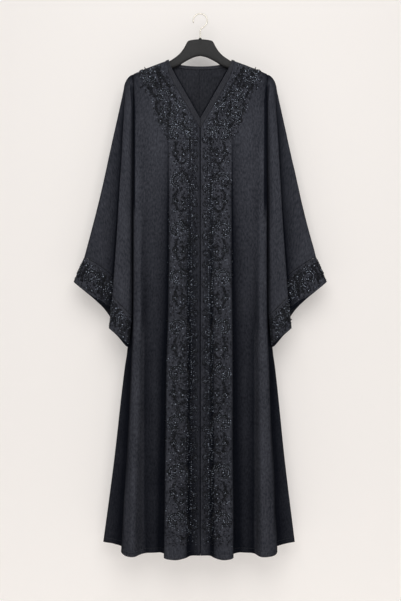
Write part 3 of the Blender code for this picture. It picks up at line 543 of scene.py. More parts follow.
def capped_rings(count: int, sides: int) -> Array:
    """Triangles between rings of points that follow one another, and flat ones over both ends."""
    cap = np.array([(0, k + 1, k) for k in range(1, sides - 1)])
    return np.concatenate([ring_faces(count, sides), cap, cap[:, ::-1] + (count - 1) * sides])


def ring_skin(rings: Array, ends: Array) -> tuple[Array, Array]:
    """A closed skin over rings of points, drawn in to a point beyond each end.

    Args:
        rings: Rings in order, each with as many points.
        ends: The two closing points.

    Returns:
        Points and triangles.
    """
    count, sides = rings.shape[:2]
    first = np.arange(sides)
    after, last = np.roll(first, -1), first + (count - 1) * sides
    start = np.stack([np.full(sides, count * sides), after, first], -1)
    end = np.stack([np.full(sides, count * sides + 1), last, np.roll(last, -1)], -1)
    points = np.concatenate([rings.reshape(-1, 3), ends])
    faces = np.concatenate([ring_faces(count, sides), start, end])
    return points, facing_out(points - points.mean(0), faces)


def joined(parts: list[tuple[Array, Array]]) -> tuple[Array, Array]:
    """Several lots of points and triangles as one."""
    starts = np.cumsum([0, *(len(points) for points, _ in parts[:-1])])
    faces = np.concatenate([faces + start for (_, faces), start in zip(parts, starts)])
    return np.concatenate([points for points, _ in parts]), faces


BEAD_RINGS = ((-0.4, 0.95), (0.55, 0.84))  # height and radius of each


@dataclass(frozen=True)
class Template:
    """A small closed shape that is repeated: its points and its triangles."""

    points: Array
    faces: Array

    def scatter(self, origins: Array, along: Array, up: Array, sizes: Array) -> tuple[Array, Array]:
        """Copies of the shape in one mesh.

        Args:
            origins: Where each copy stands.
            along: The direction of each copy's X.
            up: The direction of each copy's Z.
            sizes: Scale of each copy, one number or three.

        Returns:
            All points and all faces.
        """
        z = unit(up)
        x = unit(along - z * np.sum(along * z, axis=-1, keepdims=True))
        y = np.cross(z, x)
        sizes = np.broadcast_to(np.asarray(sizes, float).reshape(len(origins), -1), (len(origins), 3))
        local = (self.points[None] * sizes[:, None])[..., None]
        placed = origins[:, None] + local[..., 0, :] * x[:, None] + local[..., 1, :] * y[:, None]
        placed += local[..., 2, :] * z[:, None]
        faces = self.faces[None] + (np.arange(len(origins)) * len(self.points))[:, None, None]
        return placed.reshape(-1, 3), faces.reshape(-1, 3)


def round_bead() -> Template:
    """A bead of unit radius: rings of six at heights -0.4 and 0.55, a point on top, and flat below."""
    angle = np.arange(6) * math.pi / 3
    rings = [np.stack([r * np.cos(angle), r * np.sin(angle), 0 * angle + h], -1) for h, r in BEAD_RINGS]
    points = np.concatenate([*rings, [[0, 0, 1.0]]])
    top = [(6 + k, 6 + (k + 1) % 6, 12) for k in range(6)]
    foot = [(0, k + 1, k) for k in range(1, 5)]
    return Template(points, facing_out(points, np.concatenate([ring_faces(2, 6), top, foot])))


def satin_leaf() -> Template:
    """A padded satin-stitch leaf one unit long: width sin(pi t)^0.8 pulled towards its foot, domed across."""
    t = np.array([0.0, 0.25, 0.62, 1.0])
    half = 0.3 * np.sin(math.pi * t**0.85) ** 0.8 + 0.02
    dome = 0.2 * np.sin(math.pi * t) ** 0.5
    points = np.concatenate([np.stack([t, s * half, (1 - abs(s)) * dome], -1) for s in (-1, 0, 1)])
    faces = []
    n = len(t)
    for first, second in ((0, 1), (1, 2), (2, 0)):
        for k in range(n - 1):
            a, b, c, d = first * n + k, first * n + k + 1, second * n + k + 1, second * n + k
            faces += [(a, b, c), (a, c, d)]
    faces += [(0, n, 2 * n), (n - 1, 3 * n - 1, 2 * n - 1)]
    return Template(points, facing_out(points, np.array(faces)))


def run_stitch() -> Template:
    """A stitch one unit long: a thread that dips into the cloth at both ends, round in section."""
    t = np.array([-0.5, -0.3, 0.3, 0.5])
    sag, fat = np.array([-0.12, 0.06, 0.06, -0.12]), np.array([0.05, 0.12, 0.12, 0.05])
    angle = np.linspace(0, TURN, 4, endpoint=False)
    width, height = fat[:, None] * np.cos(angle), sag[:, None] + fat[:, None] * np.sin(angle)
    points = np.stack([t[:, None] + 0 * angle, width, height], -1).reshape(-1, 3)
    return Template(points, facing_out(points, capped_rings(len(t), len(angle))))


# ---- grounds for embroidery
class Ground:
    """A surface that embroidery lies on: layout places in metres go to points and outward normals."""

    def place(self, places: Array) -> tuple[Array, Array]:
        """Points and normals at rows of two layout coordinates."""
        raise NotImplementedError


@dataclass
class FrontGround(Ground):
    """The face of a front as seen from before it: layout is distance from the centre and height.

    It is read from a lattice of distances and heights, whose step down is twice that across.
    """

    grid: Grid
    last_column: int
    step: float = 1.5 * MM
    reach: float = 0.186
    foot: float = -1.53
    top: float = -0.1285

    def __post_init__(self) -> None:
        """Reads the panel's depth and its normals on the lattice."""
        points = self.grid.points[:, : self.last_column + 1]
        self.x = np.arange(0.0, self.reach, self.step)
        self.z = np.arange(self.foot, self.top, 2 * self.step)
        columns = points.shape[1]
        read = np.stack([read_along(-self.z, -points[:, c, 2], points[:, c, :2]) for c in range(columns)], 1)
        x_at = np.maximum.accumulate(read[..., 0] + 1e-9 * np.arange(columns), axis=1)
        self.y = np.stack([np.interp(self.x, x_row, y_row) for x_row, y_row in zip(x_at, read[..., 1])])
        slope_z, slope_x = np.gradient(self.y, self.z, self.x)
        self.normal = unit(np.stack([slope_x, -np.ones_like(self.y), slope_z], -1))

    def place(self, places: Array) -> tuple[Array, Array]:
        """Points and normals at rows of distance from the centre and height."""
        x, z = places[:, 0], places[:, 1]
        rows = np.clip((z - self.z[0]) / (self.z[1] - self.z[0]), 0, len(self.z) - 1.001)
        columns = np.clip((np.abs(x) - self.x[0]) / (self.x[1] - self.x[0]), 0, len(self.x) - 1.001)
        y = bilinear(self.y[..., None], rows, columns)[:, 0]
        return np.stack([x, y, z], -1), unit(bilinear(self.normal, rows, columns))


@dataclass
class WrapGround(Ground):
    """A cuff unrolled: layout is length round its middle, and height up from its edge towards the seam."""

    grid: Grid

    def __post_init__(self) -> None:
        """Measures the grid along its middle row and down its columns."""
        points = self.grid.points
        self.round = run_lengths(points[len(points) // 2])
        self.tall = float(np.linalg.norm(points[0] - points[-1], axis=1).mean())

    def place(self, places: Array) -> tuple[Array, Array]:
        """Points and normals at rows of length round and height up from the edge."""
        columns = np.interp(places[:, 0], self.round, np.arange(len(self.round)))
        rows = (1 - places[:, 1] / self.tall) * (len(self.grid.points) - 1)
        points, normals, _ = self.grid.at(rows, columns)
        return points, normals


# ---- strokes
def resampled(stroke: Array, step: float) -> Array:
    """A stroke with its points an even step apart, at least four of them."""
    lengths = run_lengths(stroke)
    count = max(4, int(round(lengths[-1] / step)) + 1)
    return read_along(np.linspace(0, lengths[-1], count), lengths, stroke)


def out_from(centre: Place, reach: float, angle: float) -> Place:
    """The place at a reach and an angle, in radians, from a centre."""
    return centre[0] + reach * math.cos(angle), centre[1] + reach * math.sin(angle)


def arc(centre: Place, radius: float, start: float, sweep: float) -> Array:
    """Part of a circle in the layout plane, angles in degrees, from start through sweep."""
    angle = np.radians(np.linspace(start, start + sweep, max(6, int(abs(sweep) / 12))))
    return np.stack([centre[0] + radius * np.cos(angle), centre[1] + radius * np.sin(angle)], -1)


def curl(centre: Place, radius: float, start: float, turns: float, inner: float = 0.25) -> Array:
    """A spiral from radius down to inner times it, over a number of turns, its start in degrees."""
    t = np.linspace(0, 1, max(8, int(abs(turns) * 22)))
    angle = math.radians(start) + TURN * turns * t
    size = radius * (1 - (1 - inner) * t**0.8)
    return np.stack([centre[0] + size * np.cos(angle), centre[1] + size * np.sin(angle)], -1)


def bezier(controls: Iterable[Place | Array], t: Array = np.linspace(0, 1, 18)[:, None]) -> Array:
    """A cubic Bezier through its four control points, at shares of its way."""
    a, b, c, d = (np.array(p, float) for p in controls)
    return (1 - t) ** 3 * a + 3 * t * (1 - t) ** 2 * b + 3 * t**2 * (1 - t) * c + t**3 * d


@dataclass
class Layout:
    """An embroidery design in millimetres on its ground: cords, leaves and beads, gathered as it is drawn."""

    seed: int
    cords: list[Array] = field(default_factory=list)
    leaves: list[tuple[float, float, float, float]] = field(default_factory=list)
    beads: list[tuple[float, float, float, float]] = field(default_factory=list)

    def __post_init__(self) -> None:
        """Starts the design's own random draw."""
        self.draw = np.random.default_rng(self.seed)

    def shade(self, bright: float) -> float:
        """A bead's shade from 0, black glass, to 1, bright metal: black unless a draw says otherwise."""
        return float(self.draw.uniform(0.25, 1.0) ** 2.3) if self.draw.random() < bright else 0.0

    def stem(self, stroke: Array, leaf: float, gap: float, spread: float = 48.0, both: bool = True) -> None:
        """A cord with leaves set along it, to both sides or to the left of its way.

        Args:
            stroke: The cord's line.
            leaf: Length of a leaf.
            gap: Distance between leaves.
            spread: Angle between a leaf and the stem, degrees.
            both: Whether leaves stand on both sides.
        """
        self.cords.append(stroke)
        line = resampled(stroke, gap)
        way = unit(np.gradient(line, axis=0))
        for k in range(1, len(line) - 1):
            for sign in (1, -1) if both else (1,):
                turn = math.radians(spread + self.draw.uniform(-9, 9)) * sign
                angle = math.atan2(way[k, 1], way[k, 0]) + turn
                size = leaf * self.draw.uniform(0.8, 1.15)
                self.leaves.append((line[k, 0], line[k, 1], angle, size))

    def string(self, stroke: Array, gap: float, size: float, bright: float) -> None:
        """Beads strung along a line.

        Args:
            stroke: The line.
            gap: Distance between beads.
            size: Radius of a bead.
            bright: Likelihood that a bead is a bright one.
        """
        for x, z in resampled(stroke, gap):
            wobble = self.draw.uniform(-0.25, 0.25, 2)
            radius = size * self.draw.uniform(0.85, 1.12)
            self.beads.append((x + wobble[0], z + wobble[1], radius, self.shade(bright)))

    def flower(self, centre: Place, radius: float, petals: int = 5, ringed: bool = True) -> None:
        """A flower: padded leaves as petals round a bead, each edged by a cord loop, and beads between.

        Args:
            centre: Its middle.
            radius: Length of a petal.
            petals: How many.
            ringed: Whether the petals have their loops.
        """
        start = self.draw.uniform(0, TURN)
        for k in range(petals):
            angle = start + TURN * k / petals
            self.leaves.append((*out_from(centre, 1.2, angle), angle, radius))
            between = out_from(centre, radius * 0.72, angle + math.pi / petals)
            self.beads.append((*between, 1.2, self.shade(0.8)))
            if ringed:
                middle = out_from(centre, radius * 0.62, angle)
                self.cords.append(arc(middle, radius * 0.46, math.degrees(angle) - 130, 260))
        self.beads.append((*centre, 1.6, 1.0))

    def wreath(self, centre: Place, radius: float, start: float, sweep: float) -> None:
        """An open wreath: two cords, beads strung between them, leaves outside and a tendril at each end.

        Args:
            centre: Its middle.
            radius: Of the outer cord.
            start: Where the wreath begins, degrees.
            sweep: How far it goes round, degrees; its sign gives the way.
        """
        inner = radius * 0.76
        self.stem(arc(centre, radius, start, sweep), radius * 0.34, radius * 0.3, 52.0, both=False)
        self.cords.append(arc(centre, inner, start, sweep))
        self.string(arc(centre, (radius + inner) / 2, start, sweep), 5.2, 1.5, 0.95)
        self.string(arc(centre, radius * 1.19, start, sweep), 6.2, 1.3, 0.75)
        self.string(arc(centre, radius * 0.58, start, sweep), 6.0, 1.2, 0.6)
        way = 1 if sweep > 0 else -1
        for angle, sign in ((start, -way), (start + sweep, way)):
            at = out_from(centre, inner * 0.8, math.radians(angle))
            self.cords.append(curl(at, radius * 0.2, angle, 1.1 * sign))
        self.flower((centre[0] + radius * 0.08, centre[1] - radius * 0.1), radius * 0.36, 5, ringed=False)

    def drawn(self, likely: Formula, box: Box, tries: int) -> Array:
        """Places drawn over a box of least and greatest coordinates, each kept with its own likelihood."""
        low, high = np.array(box[:2]), np.array(box[2:])
        places = low + (high - low) * self.draw.random((tries, 2))
        return places[self.draw.random(tries) < likely(places)]

    def filling(self, likely: Formula, box: Box, gap: float) -> None:
        """Vermicelli curls, small leaves and beads scattered where the design is dense.

        Args:
            likely: Likelihood of an element at rows of places.
            box: Least and greatest coordinates of the area.
            gap: Least distance between elements.
        """
        kept = np.zeros((0, 2))
        for place in self.drawn(likely, box, int((box[2] - box[0]) * (box[3] - box[1]) / gap**2 * 5)):
            if len(kept) == 0 or np.min(np.sum((kept - place) ** 2, axis=1)) > gap * gap:
                kept = np.vstack([kept, place])
        kinds = self.draw.random(len(kept))
        for (x, z), kind in zip(kept, kinds):
            angle = self.draw.uniform(0, 360)
            if kind < 0.48:
                turns = self.draw.choice([-1, 1]) * self.draw.uniform(0.6, 1.0)
                self.cords.append(curl((x, z), gap * self.draw.uniform(0.45, 0.68), angle, turns))
            elif kind < 0.68:
                self.leaves.append((x, z, math.radians(angle), gap * self.draw.uniform(0.9, 1.4)))
            else:
                self.beads.append((x, z, self.draw.uniform(1.0, 1.35), self.shade(0.7)))

    def sprinkle(self, likely: Formula, box: Box, count: int) -> None:
        """Loose small beads over a box, up to a count."""
        places = self.drawn(likely, box, count * 40)[:count]
        self.beads += [(x, z, self.draw.uniform(0.9, 1.2), self.shade(0.5)) for x, z in places]


def tubes(
    ground: Ground, strokes: list[Array], radius: float, step: float, sides: int = 4
) -> tuple[Array, Array]:
    """Round cords laid along strokes on a ground, closed at both ends.

    Args:
        ground: What they lie on.
        strokes: Lines in the ground's layout, millimetres.
        radius: Of the cord, metres.
        step: Distance between its rings, millimetres.
        sides: Corners of its section.

    Returns:
        Points and triangles of all the cords.
    """
    angle = np.linspace(0, TURN, sides, endpoint=False)
    parts = []
    for stroke in strokes:
        line = resampled(stroke, step) * MM
        at, normal = ground.place(line)
        side = unit(np.cross(normal, unit(np.gradient(at, axis=0))))
        width = np.full((len(line), 1), radius)
        width[[0, -1]] *= 0.55
        centre = at + normal * radius * 0.62
        over, up = ((width * turned(angle))[..., None] for turned in (np.cos, np.sin))
        ring = centre[:, None] + side[:, None] * over + normal[:, None] * up
        parts.append((ring.reshape(-1, 3), capped_rings(len(line), sides)))
    return joined(parts)


# ---- finishes
VECTOR, COLOUR, NUMBER = "NodeSocketVector", "NodeSocketColor", "NodeSocketFloat"
# Painted shade: the blue-black colour that cloth and thread are painted towards at the foot of a fold.
PAINTED_FOLD_SHADE = (0.0004, 0.0012, 0.0040)  # what cloth and thread darken to at the foot of a fold
TONE_AND_HEIGHT = {"Tone": NUMBER, "Height": NUMBER}


class Tree:
    """A node tree while it is built."""

    def __init__(self, tree: NodeTree) -> None:
        """Keeps the tree that nodes are added to."""
        self.tree = tree

    def add(self, kind: str, values: dict | None = None, **settings: object) -> Node:
        """A new node.

        Args:
            kind: The node's type.
            values: Input name or number to a constant, or to an output socket that it is linked from.
            settings: The node's own properties.

        Returns:
            The node.
        """
        made = self.tree.nodes.new(kind)
        for name, value in settings.items():
            setattr(made, name, value)
        self.fill(made, values or {})
        return made

    def fill(self, node: Node, values: dict) -> None:
        """Sets or links a node's inputs, by name or number."""
        for name, value in values.items():
            if isinstance(value, NodeSocket):
                self.tree.links.new(value, node.inputs[name])
            else:
                node.inputs[name].default_value = value

    def mix(self, share: object, low: object, high: object) -> NodeSocket:
        """Colour between two by a share."""
        return self.add("ShaderNodeMix", {0: share, 6: low, 7: high}, data_type="RGBA").outputs[2]

    def spread(self, value: object, low: float, high: float, to_low: float, to_high: float) -> NodeSocket:
        """A value carried from one range to another."""
        numbers = {"Value": value, 1: low, 2: high, 3: to_low, 4: to_high}
        return self.add("ShaderNodeMapRange", numbers).outputs[0]

    def sum(self, first: object, second: object) -> NodeSocket:
        """Two values added."""
        return self.add("ShaderNodeMath", {0: first, 1: second}, operation="ADD").outputs[0]

    def product(self, first: object, second: object) -> NodeSocket:
        """Two values multiplied."""
        return self.add("ShaderNodeMath", {0: first, 1: second}, operation="MULTIPLY").outputs[0]

    def noise(self, place: NodeSocket, scale: object, **values: float) -> NodeSocket:
        """Noise from 0 to 1 at a place."""
        return self.add("ShaderNodeTexNoise", {"Vector": place, "Scale": scale, **values}).outputs["Fac"]

    def read(self, name: str) -> NodeSocket:
        """A value that the mesh holds at each of its points."""
        return self.add("ShaderNodeAttribute", attribute_name=name).outputs["Fac"]

    def dress(self, shader: Node, colour: object, normal: object, roughness: object, gloss: float) -> None:
        """Gives a shader its colour, normal, roughness and gloss."""
        values = {"Base Color": colour, "Normal": normal, "Roughness": roughness, "Specular IOR Level": gloss}
        self.fill(shader, values)

    def bump(self, height: NodeSocket, depth: float) -> NodeSocket:
        """A normal that leans as a height of this depth in metres makes it."""
        return self.add("ShaderNodeBump", {"Height": height, "Distance": depth}).outputs[0]


def new_group(
    name: str, inputs: dict[str, str | float], outputs: dict[str, str]
) -> tuple[Tree, Node, Node]:
    """An empty node group with named sockets.

    Args:
        name: The group's name.
        inputs: Input name to its socket type, or for a number to the number that stands in it.
        outputs: Output name to its socket type.

    Returns:
        Its tree, its input node and its output node.
    """
    group = bpy.data.node_groups.new(name, "ShaderNodeTree")
    for key, value in inputs.items():
        kind = value if isinstance(value, str) else NUMBER
        socket = group.interface.new_socket(key, in_out="INPUT", socket_type=kind)
        if kind is NUMBER:
            socket.default_value = value
    for key, kind in outputs.items():
        group.interface.new_socket(key, in_out="OUTPUT", socket_type=kind)
    return Tree(group), group.nodes.new("NodeGroupInput"), group.nodes.new("NodeGroupOutput")


def crepe_group() -> NodeTree:
    """Crepe: crinkle from noise stretched a little down the cloth, a fine pebble and a slow uneven tone.

    The colour runs from Low to High with the tone. Painted shade then takes it toward Deep by Hollow times how
    hidden a place is, which Fold gives from 0.03, in the open, to 0.56, on the floor of a fold.
    """
    numbers = {"Crinkle": 150.0, "Fold": 0.0, "Hollow": 0.9}
    sockets = {"Place": VECTOR, **numbers, "Low": COLOUR, "High": COLOUR, "Deep": COLOUR}
    t, given, made = new_group("crepe_cloth", sockets, {"Colour": COLOUR, "Height": NUMBER})
    place, crinkle = given.outputs["Place"], given.outputs["Crinkle"]
    longer = t.add("ShaderNodeVectorMath", {0: place, 1: (1.0, 0.45, 1.0)}, operation="MULTIPLY").outputs[0]
    coarse = t.noise(longer, crinkle, Detail=2.0, Roughness=0.55)
    fine = t.noise(place, t.product(crinkle, 6.0), Detail=1.0)
    slow = t.noise(longer, 16.0, Detail=3.0, Roughness=0.6)
    height = t.sum(t.product(coarse, 0.78), t.product(fine, 0.22))
    tone = t.spread(t.sum(t.product(height, 0.72), t.product(slow, 0.28)), 0.37, 0.63, 0.0, 1.0)
    # Painted shade: the share by which the colour goes toward Deep in the folds.
    hidden = t.product(t.spread(given.outputs["Fold"], 0.03, 0.56, 0.0, 1.0), given.outputs["Hollow"])
    colour = t.mix(hidden, t.mix(tone, given.outputs["Low"], given.outputs["High"]), given.outputs["Deep"])
    t.fill(made, {"Height": height, "Colour": colour})
    return t.tree


def thread_group() -> NodeTree:
    """Twisted thread: slanting bands broken by noise for the height, and slow noise for the tone."""
    sockets = {"Place": VECTOR, "Strands": 900.0}
    t, given, made = new_group("twisted_thread", sockets, TONE_AND_HEIGHT)
    place = given.outputs["Place"]
    twist = {"Vector": place, "Scale": given.outputs["Strands"], "Distortion": 2.5, "Detail": 1.0}
    bands = t.add("ShaderNodeTexWave", twist, bands_direction="DIAGONAL")
    tone = t.spread(t.noise(place, 260.0, Detail=2.0), 0.4, 0.64, 0.0, 1.0)
    t.fill(made, {"Height": bands.outputs["Fac"], "Tone": tone})
    return t.tree


def grain_group() -> NodeTree:
    """Hard surfaces: slow unevenness for the tone and a fine grain for the height."""
    t, given, made = new_group("hard_grain", {"Place": VECTOR, "Slow": 14.0, "Grain": 400.0}, TONE_AND_HEIGHT)
    place = given.outputs["Place"]
    broad = t.noise(place, given.outputs["Slow"], Detail=4.0)
    fine = t.noise(place, given.outputs["Grain"], Detail=2.0)
    t.fill(made, {"Tone": t.spread(broad, 0.3, 0.7, 0.0, 1.0), "Height": fine})
    return t.tree


def rgba(colour: Colour) -> tuple[float, float, float, float]:
    """A colour as a socket takes it."""
    return (*colour, 1.0)


def new_material(name: str, shown: Colour) -> tuple[Material, Tree, Node]:
    """A new material with the colour that a plain view shows, its tree and its shader."""
    made = bpy.data.materials.new(name)
    made.use_nodes = True
    made.diffuse_color = rgba(shown)
    return made, Tree(made.node_tree), made.node_tree.nodes["Principled BSDF"]


@dataclass(frozen=True)
class ClothFinish:
    """Matte crepe: its colours low and high on the grain, and how coarse and deep the crinkle is."""

    name: str
    low: Colour
    high: Colour
    depth: float
    fold: str = "fold"
    crinkle: float = 230.0
    # Painted shade: the colour that the cloth goes toward in its folds, and how far at most.
    deep: Colour = PAINTED_FOLD_SHADE
    hollow: float = 0.9
    roughness: float = 0.9
    gloss: float = 0.05

    def build(self, group: NodeTree) -> Material:
        """The material, whose crinkle runs on the piece's own cloth map, with painted shade in its folds."""
        made, t, shader = new_material(self.name, self.high)
        place = t.add("ShaderNodeUVMap", uv_map="cloth").outputs[0]
        values = {"Place": place, "Fold": t.read(self.fold), "Crinkle": self.crinkle, "Hollow": self.hollow}
        colours = {"Low": rgba(self.low), "High": rgba(self.high), "Deep": rgba(self.deep)}
        cloth = t.add("ShaderNodeGroup", values | colours, node_tree=group)
        normal = t.bump(cloth.outputs["Height"], self.depth)
        t.dress(shader, cloth.outputs["Colour"], normal, self.roughness, self.gloss)
        return made


@dataclass(frozen=True)
class ThreadFinish:
    """Twisted thread or cord: two tones, gloss and how deep its strands are."""

    name: str
    low: Colour
    high: Colour
    roughness: float
    depth: float
    gloss: float
    # Painted shade: the colour that the thread goes toward where the cloth under it lies in a fold.
    deep: Colour = PAINTED_FOLD_SHADE

    def build(self, group: NodeTree) -> Material:
        """The material, whose strands lie in the object's own coordinates, with the cloth's painted fold
        shade.
        """
        made, t, shader = new_material(self.name, self.high)
        place = t.add("ShaderNodeTexCoord").outputs["Object"]
        thread = t.add("ShaderNodeGroup", {"Place": place}, node_tree=group)
        lit = t.mix(thread.outputs["Tone"], rgba(self.low), rgba(self.high))
        # Painted shade: the thread takes the fold shade of the cloth under it.
        colour = t.mix(t.read("fold"), lit, rgba(self.deep))
        normal = t.bump(thread.outputs["Height"], self.depth)
        t.dress(shader, colour, normal, self.roughness, self.gloss)
        return made


@dataclass(frozen=True)
class BeadFinish:
    """Beads: glossy black glass, or a bright metal lining where a bead's own shade says so."""

    name: str
    dark: Colour
    bright: Colour

    def build(self) -> Material:
        """The material, which reads each bead's shade."""
        made, t, shader = new_material(self.name, self.dark)
        shade = t.read("shade")
        colour = t.mix(shade, rgba(self.dark), rgba(self.bright))
        metallic, roughness = t.product(shade, 0.85), t.spread(shade, 0, 1, 0.12, 0.3)
        t.fill(shader, {"Base Color": colour, "Metallic": metallic, "Roughness": roughness})
        return made


@dataclass(frozen=True)
class HardFinish:
    """Plastic, metal or painted board: a colour with slow unevenness, gloss and a fine grain."""

    name: str
    low: Colour
    high: Colour
    roughness: tuple[float, float]
    metallic: float = 0.0
    grain: float = 400.0
    depth: float = 0.00002
    slow: float = 14.0
    gloss: float = 0.5

    def build(self, group: NodeTree) -> Material:
        """The material, in the object's own coordinates."""
        made, t, shader = new_material(self.name, self.high)
        place = t.add("ShaderNodeTexCoord").outputs["Object"]
        values = {"Place": place, "Slow": self.slow, "Grain": self.grain}
        hard = t.add("ShaderNodeGroup", values, node_tree=group)
        normal = t.bump(hard.outputs["Height"], self.depth)
        colour = t.mix(hard.outputs["Tone"], rgba(self.low), rgba(self.high))
        roughness = t.spread(hard.outputs["Height"], 0.3, 0.7, *self.roughness)
        t.dress(shader, colour, normal, roughness, self.gloss)
        t.fill(shader, {"Metallic": self.metallic})
        return made


CREPE = ClothFinish("crepe", (0.0203, 0.0219, 0.0281), (0.0566, 0.0593, 0.0728), 0.0006)
# The wrong side is duller, with a shallower crinkle, and is painted darker to stand for the shade inside the
# cloak.
SHADED_CREPE_REVERSE = ClothFinish(
    "shaded_crepe_reverse", (0.0135, 0.0144, 0.0182), (0.0320, 0.0333, 0.0405), 0.0003, fold="inner_fold"
)
NECK_BAND = ClothFinish("neck_band", (0.0205, 0.0215, 0.0265), (0.0390, 0.0405, 0.0485), 0.0003)
LACE_THREAD = ThreadFinish("lace", (0.0020, 0.0026, 0.0044), (0.0125, 0.0140, 0.0194), 0.45, 0.0001, 0.2)
SEWING_THREAD = ThreadFinish(
    "sewing_thread", (0.034, 0.035, 0.041), (0.062, 0.063, 0.070), 0.55, 0.00005, 0.3
)
BEADS = BeadFinish("lace_beads", (0.004, 0.0045, 0.006), (0.54, 0.61, 0.74))
PLASTIC = HardFinish(
    "hanger_plastic", (0.0060, 0.0060, 0.0062), (0.0110, 0.0110, 0.0113), (0.55, 0.66), gloss=0.35
)
STEEL = HardFinish("hook_steel", (0.58, 0.55, 0.48), (0.68, 0.65, 0.58), (0.22, 0.34), 1.0, 900.0)


@dataclass(frozen=True)
class Finishes:
    """Every material of the cloak, built once."""

    grain: NodeTree
    crepe: Material
    reverse: Material
    neck_band: Material
    lace: Material
    beads: Material
    thread: Material
    plastic: Material
    steel: Material

    @classmethod
    def build(cls) -> "Finishes":
        """Builds the shared groups and every finish."""
        crepe, thread, grain = crepe_group(), thread_group(), grain_group()
        cloths = [finish.build(crepe) for finish in (CREPE, SHADED_CREPE_REVERSE, NECK_BAND)]
        threads = LACE_THREAD.build(thread), BEADS.build(), SEWING_THREAD.build(thread)
        return cls(grain, *cloths, *threads, PLASTIC.build(grain), STEEL.build(grain))


# ---- surfaces of the cloak
def ridge_z(x: Array) -> Array:
    """Height of the shoulder's ridge, which falls away from the neck point."""
    out = x - NECK_HALF_WIDTH
    return NECK_POINT_Z - RIDGE_SLOPE * out - RIDGE_CURVE * np.maximum(out, 0.0) ** 2


def front_top_z(x: Array) -> Array:
    """Top edge of a front: the straight side of the V, then the shoulder seam."""
    lift = NECK_POINT_Z - FRONT_NECK_Z - V_SLOPE * NECK_HALF_WIDTH
    v_edge = FRONT_NECK_Z + V_SLOPE * x + lift * np.clip(x / NECK_HALF_WIDTH, 0, 1) ** V_TURN_POWER
    return np.where(x < NECK_HALF_WIDTH, v_edge, ridge_z(x))


def back_top_z(x: Array) -> Array:
    """Top edge of the back: a shallow curved neckline, then the shoulder seam."""
    neck = BACK_NECK_Z + (NECK_POINT_Z - BACK_NECK_Z) * np.clip(x / NECK_HALF_WIDTH, 0, 1) ** 2.5
    return np.where(x < NECK_HALF_WIDTH, neck, ridge_z(x))


def over_hanger(x: Array, z: Array) -> Array:
    """Share of its full depth that the cloth has reached below the ridge: a quarter ellipse."""
    bend = 12 * MM + 0.1 * np.clip(x - NECK_HALF_WIDTH, 0, 0.1)
    fall = np.clip((ridge_z(x) - z) / bend, 0, 1)
    return np.sqrt(1 - (1 - fall) ** 2)


def sleeve_controls(share: Array) -> Array:
    """Points of the sleeve's fold lines at each share of the way from the shoulder tip to the cuff seam."""
    lines = []
    for _, _, across, depth, height, _ in SLEEVE_FOLDS:
        x = monotone(SLEEVE_LEVELS, across[:4], share)
        y = monotone(SLEEVE_LEVELS, depth[:4], share)
        lines.append(np.stack([x, y, height[0] + (height[1] - height[0]) * share], axis=-1))
    return np.stack(lines, axis=1) * MM


def dome_controls(rows: int) -> Array:
    """Rows over the shoulder tip: an ellipsoid turned from the armhole's plane down to the cap's level."""
    angles = np.radians([f[1] for f in SLEEVE_FOLDS])
    cap = sleeve_controls(np.zeros(1))
    part = (np.arange(rows) / rows)[:, None]
    turn = 0.5 * math.pi * part
    x = ARMHOLE_X + DOME_REACH * np.sin(turn) * np.cos(angles)
    y = DOME_DEPTH * np.sin(angles) + 0 * turn
    z = DOME_BASE_Z + DOME_HEIGHT * np.cos(turn) * np.cos(angles)
    z = z + (1 - np.cos(angles)) * (cap[..., 2] - DOME_BASE_Z) * part
    blend = part[..., None] ** 2
    return np.stack([x, y, z], axis=-1) * (1 - blend) + cap * blend


def sleeve_columns(controls: Array, finer: int) -> Array:
    """Carries fold-line points to all columns of the sleeve."""
    knots, columns = fold_places(SLEEVE_FOLDS, 3, finer)
    return np.einsum("ci,rik->rck", spline_weights(knots, columns), controls)


def dressed(made: Object, slot: str, *nodes: str) -> None:
    """Puts a piece on the one body, hides the solids that it replaces, and logs its size."""
    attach(made, "root")
    if nodes:
        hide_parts(*nodes)
    LOG.info("%s: %d faces", made.name, len(made.data.polygons))


@dataclass
class Stitches:
    """Rows of machine stitches gathered for one piece, standing out of the cloth's middle by a lift."""

    side: Side
    lift: float
    pitch: float = 3.4 * MM
    runs: list[tuple[Array, Array, Array]] = field(default_factory=list)

    def run(self, grid: Grid, rows: Array, columns: Array) -> None:
        """One row of stitches along fractional rows and columns of a grid, with the cloth's painted shade
        there.
        """
        at, out, _ = grid.at(rows, columns)
        flip = self.side.flip
        self.runs.append(((at + out * self.lift) * flip, out * flip, grid.shade_near(rows, columns)))

    def build(self, name: str, finish: Material) -> Object:
        """All rows as one piece: a stitch each pitch."""
        template = run_stitch()
        origins, along, up, shades = [], [], [], []
        for at, out, shade in self.runs:
            lengths = run_lengths(at)
            count = max(2, int(lengths[-1] / self.pitch))
            places = (np.arange(count) + 0.5) / count * lengths[-1]
            start, middle, end = (read_along(places + k * self.pitch, lengths, at) for k in (-0.4, 0, 0.4))
            origins.append(middle)
            along.append(end - start + 1e-9)
            up.append(read_along(places, lengths, out))
            shades.append(np.interp(places, lengths, shade))
        origins, along, up = (np.concatenate(v) for v in (origins, along, up))
        sizes = np.tile([self.pitch * 0.82, self.pitch * 0.9, self.pitch * 0.9], (len(origins), 1))
        mesh = quick_mesh(name, *template.scatter(origins, along, up, sizes))
        # Painted shade: each stitch takes the fold shade of the cloth under it.
        give_value(mesh, "fold", np.repeat(np.concatenate(shades), len(template.points)))
        return new_object(name, mesh, finish)


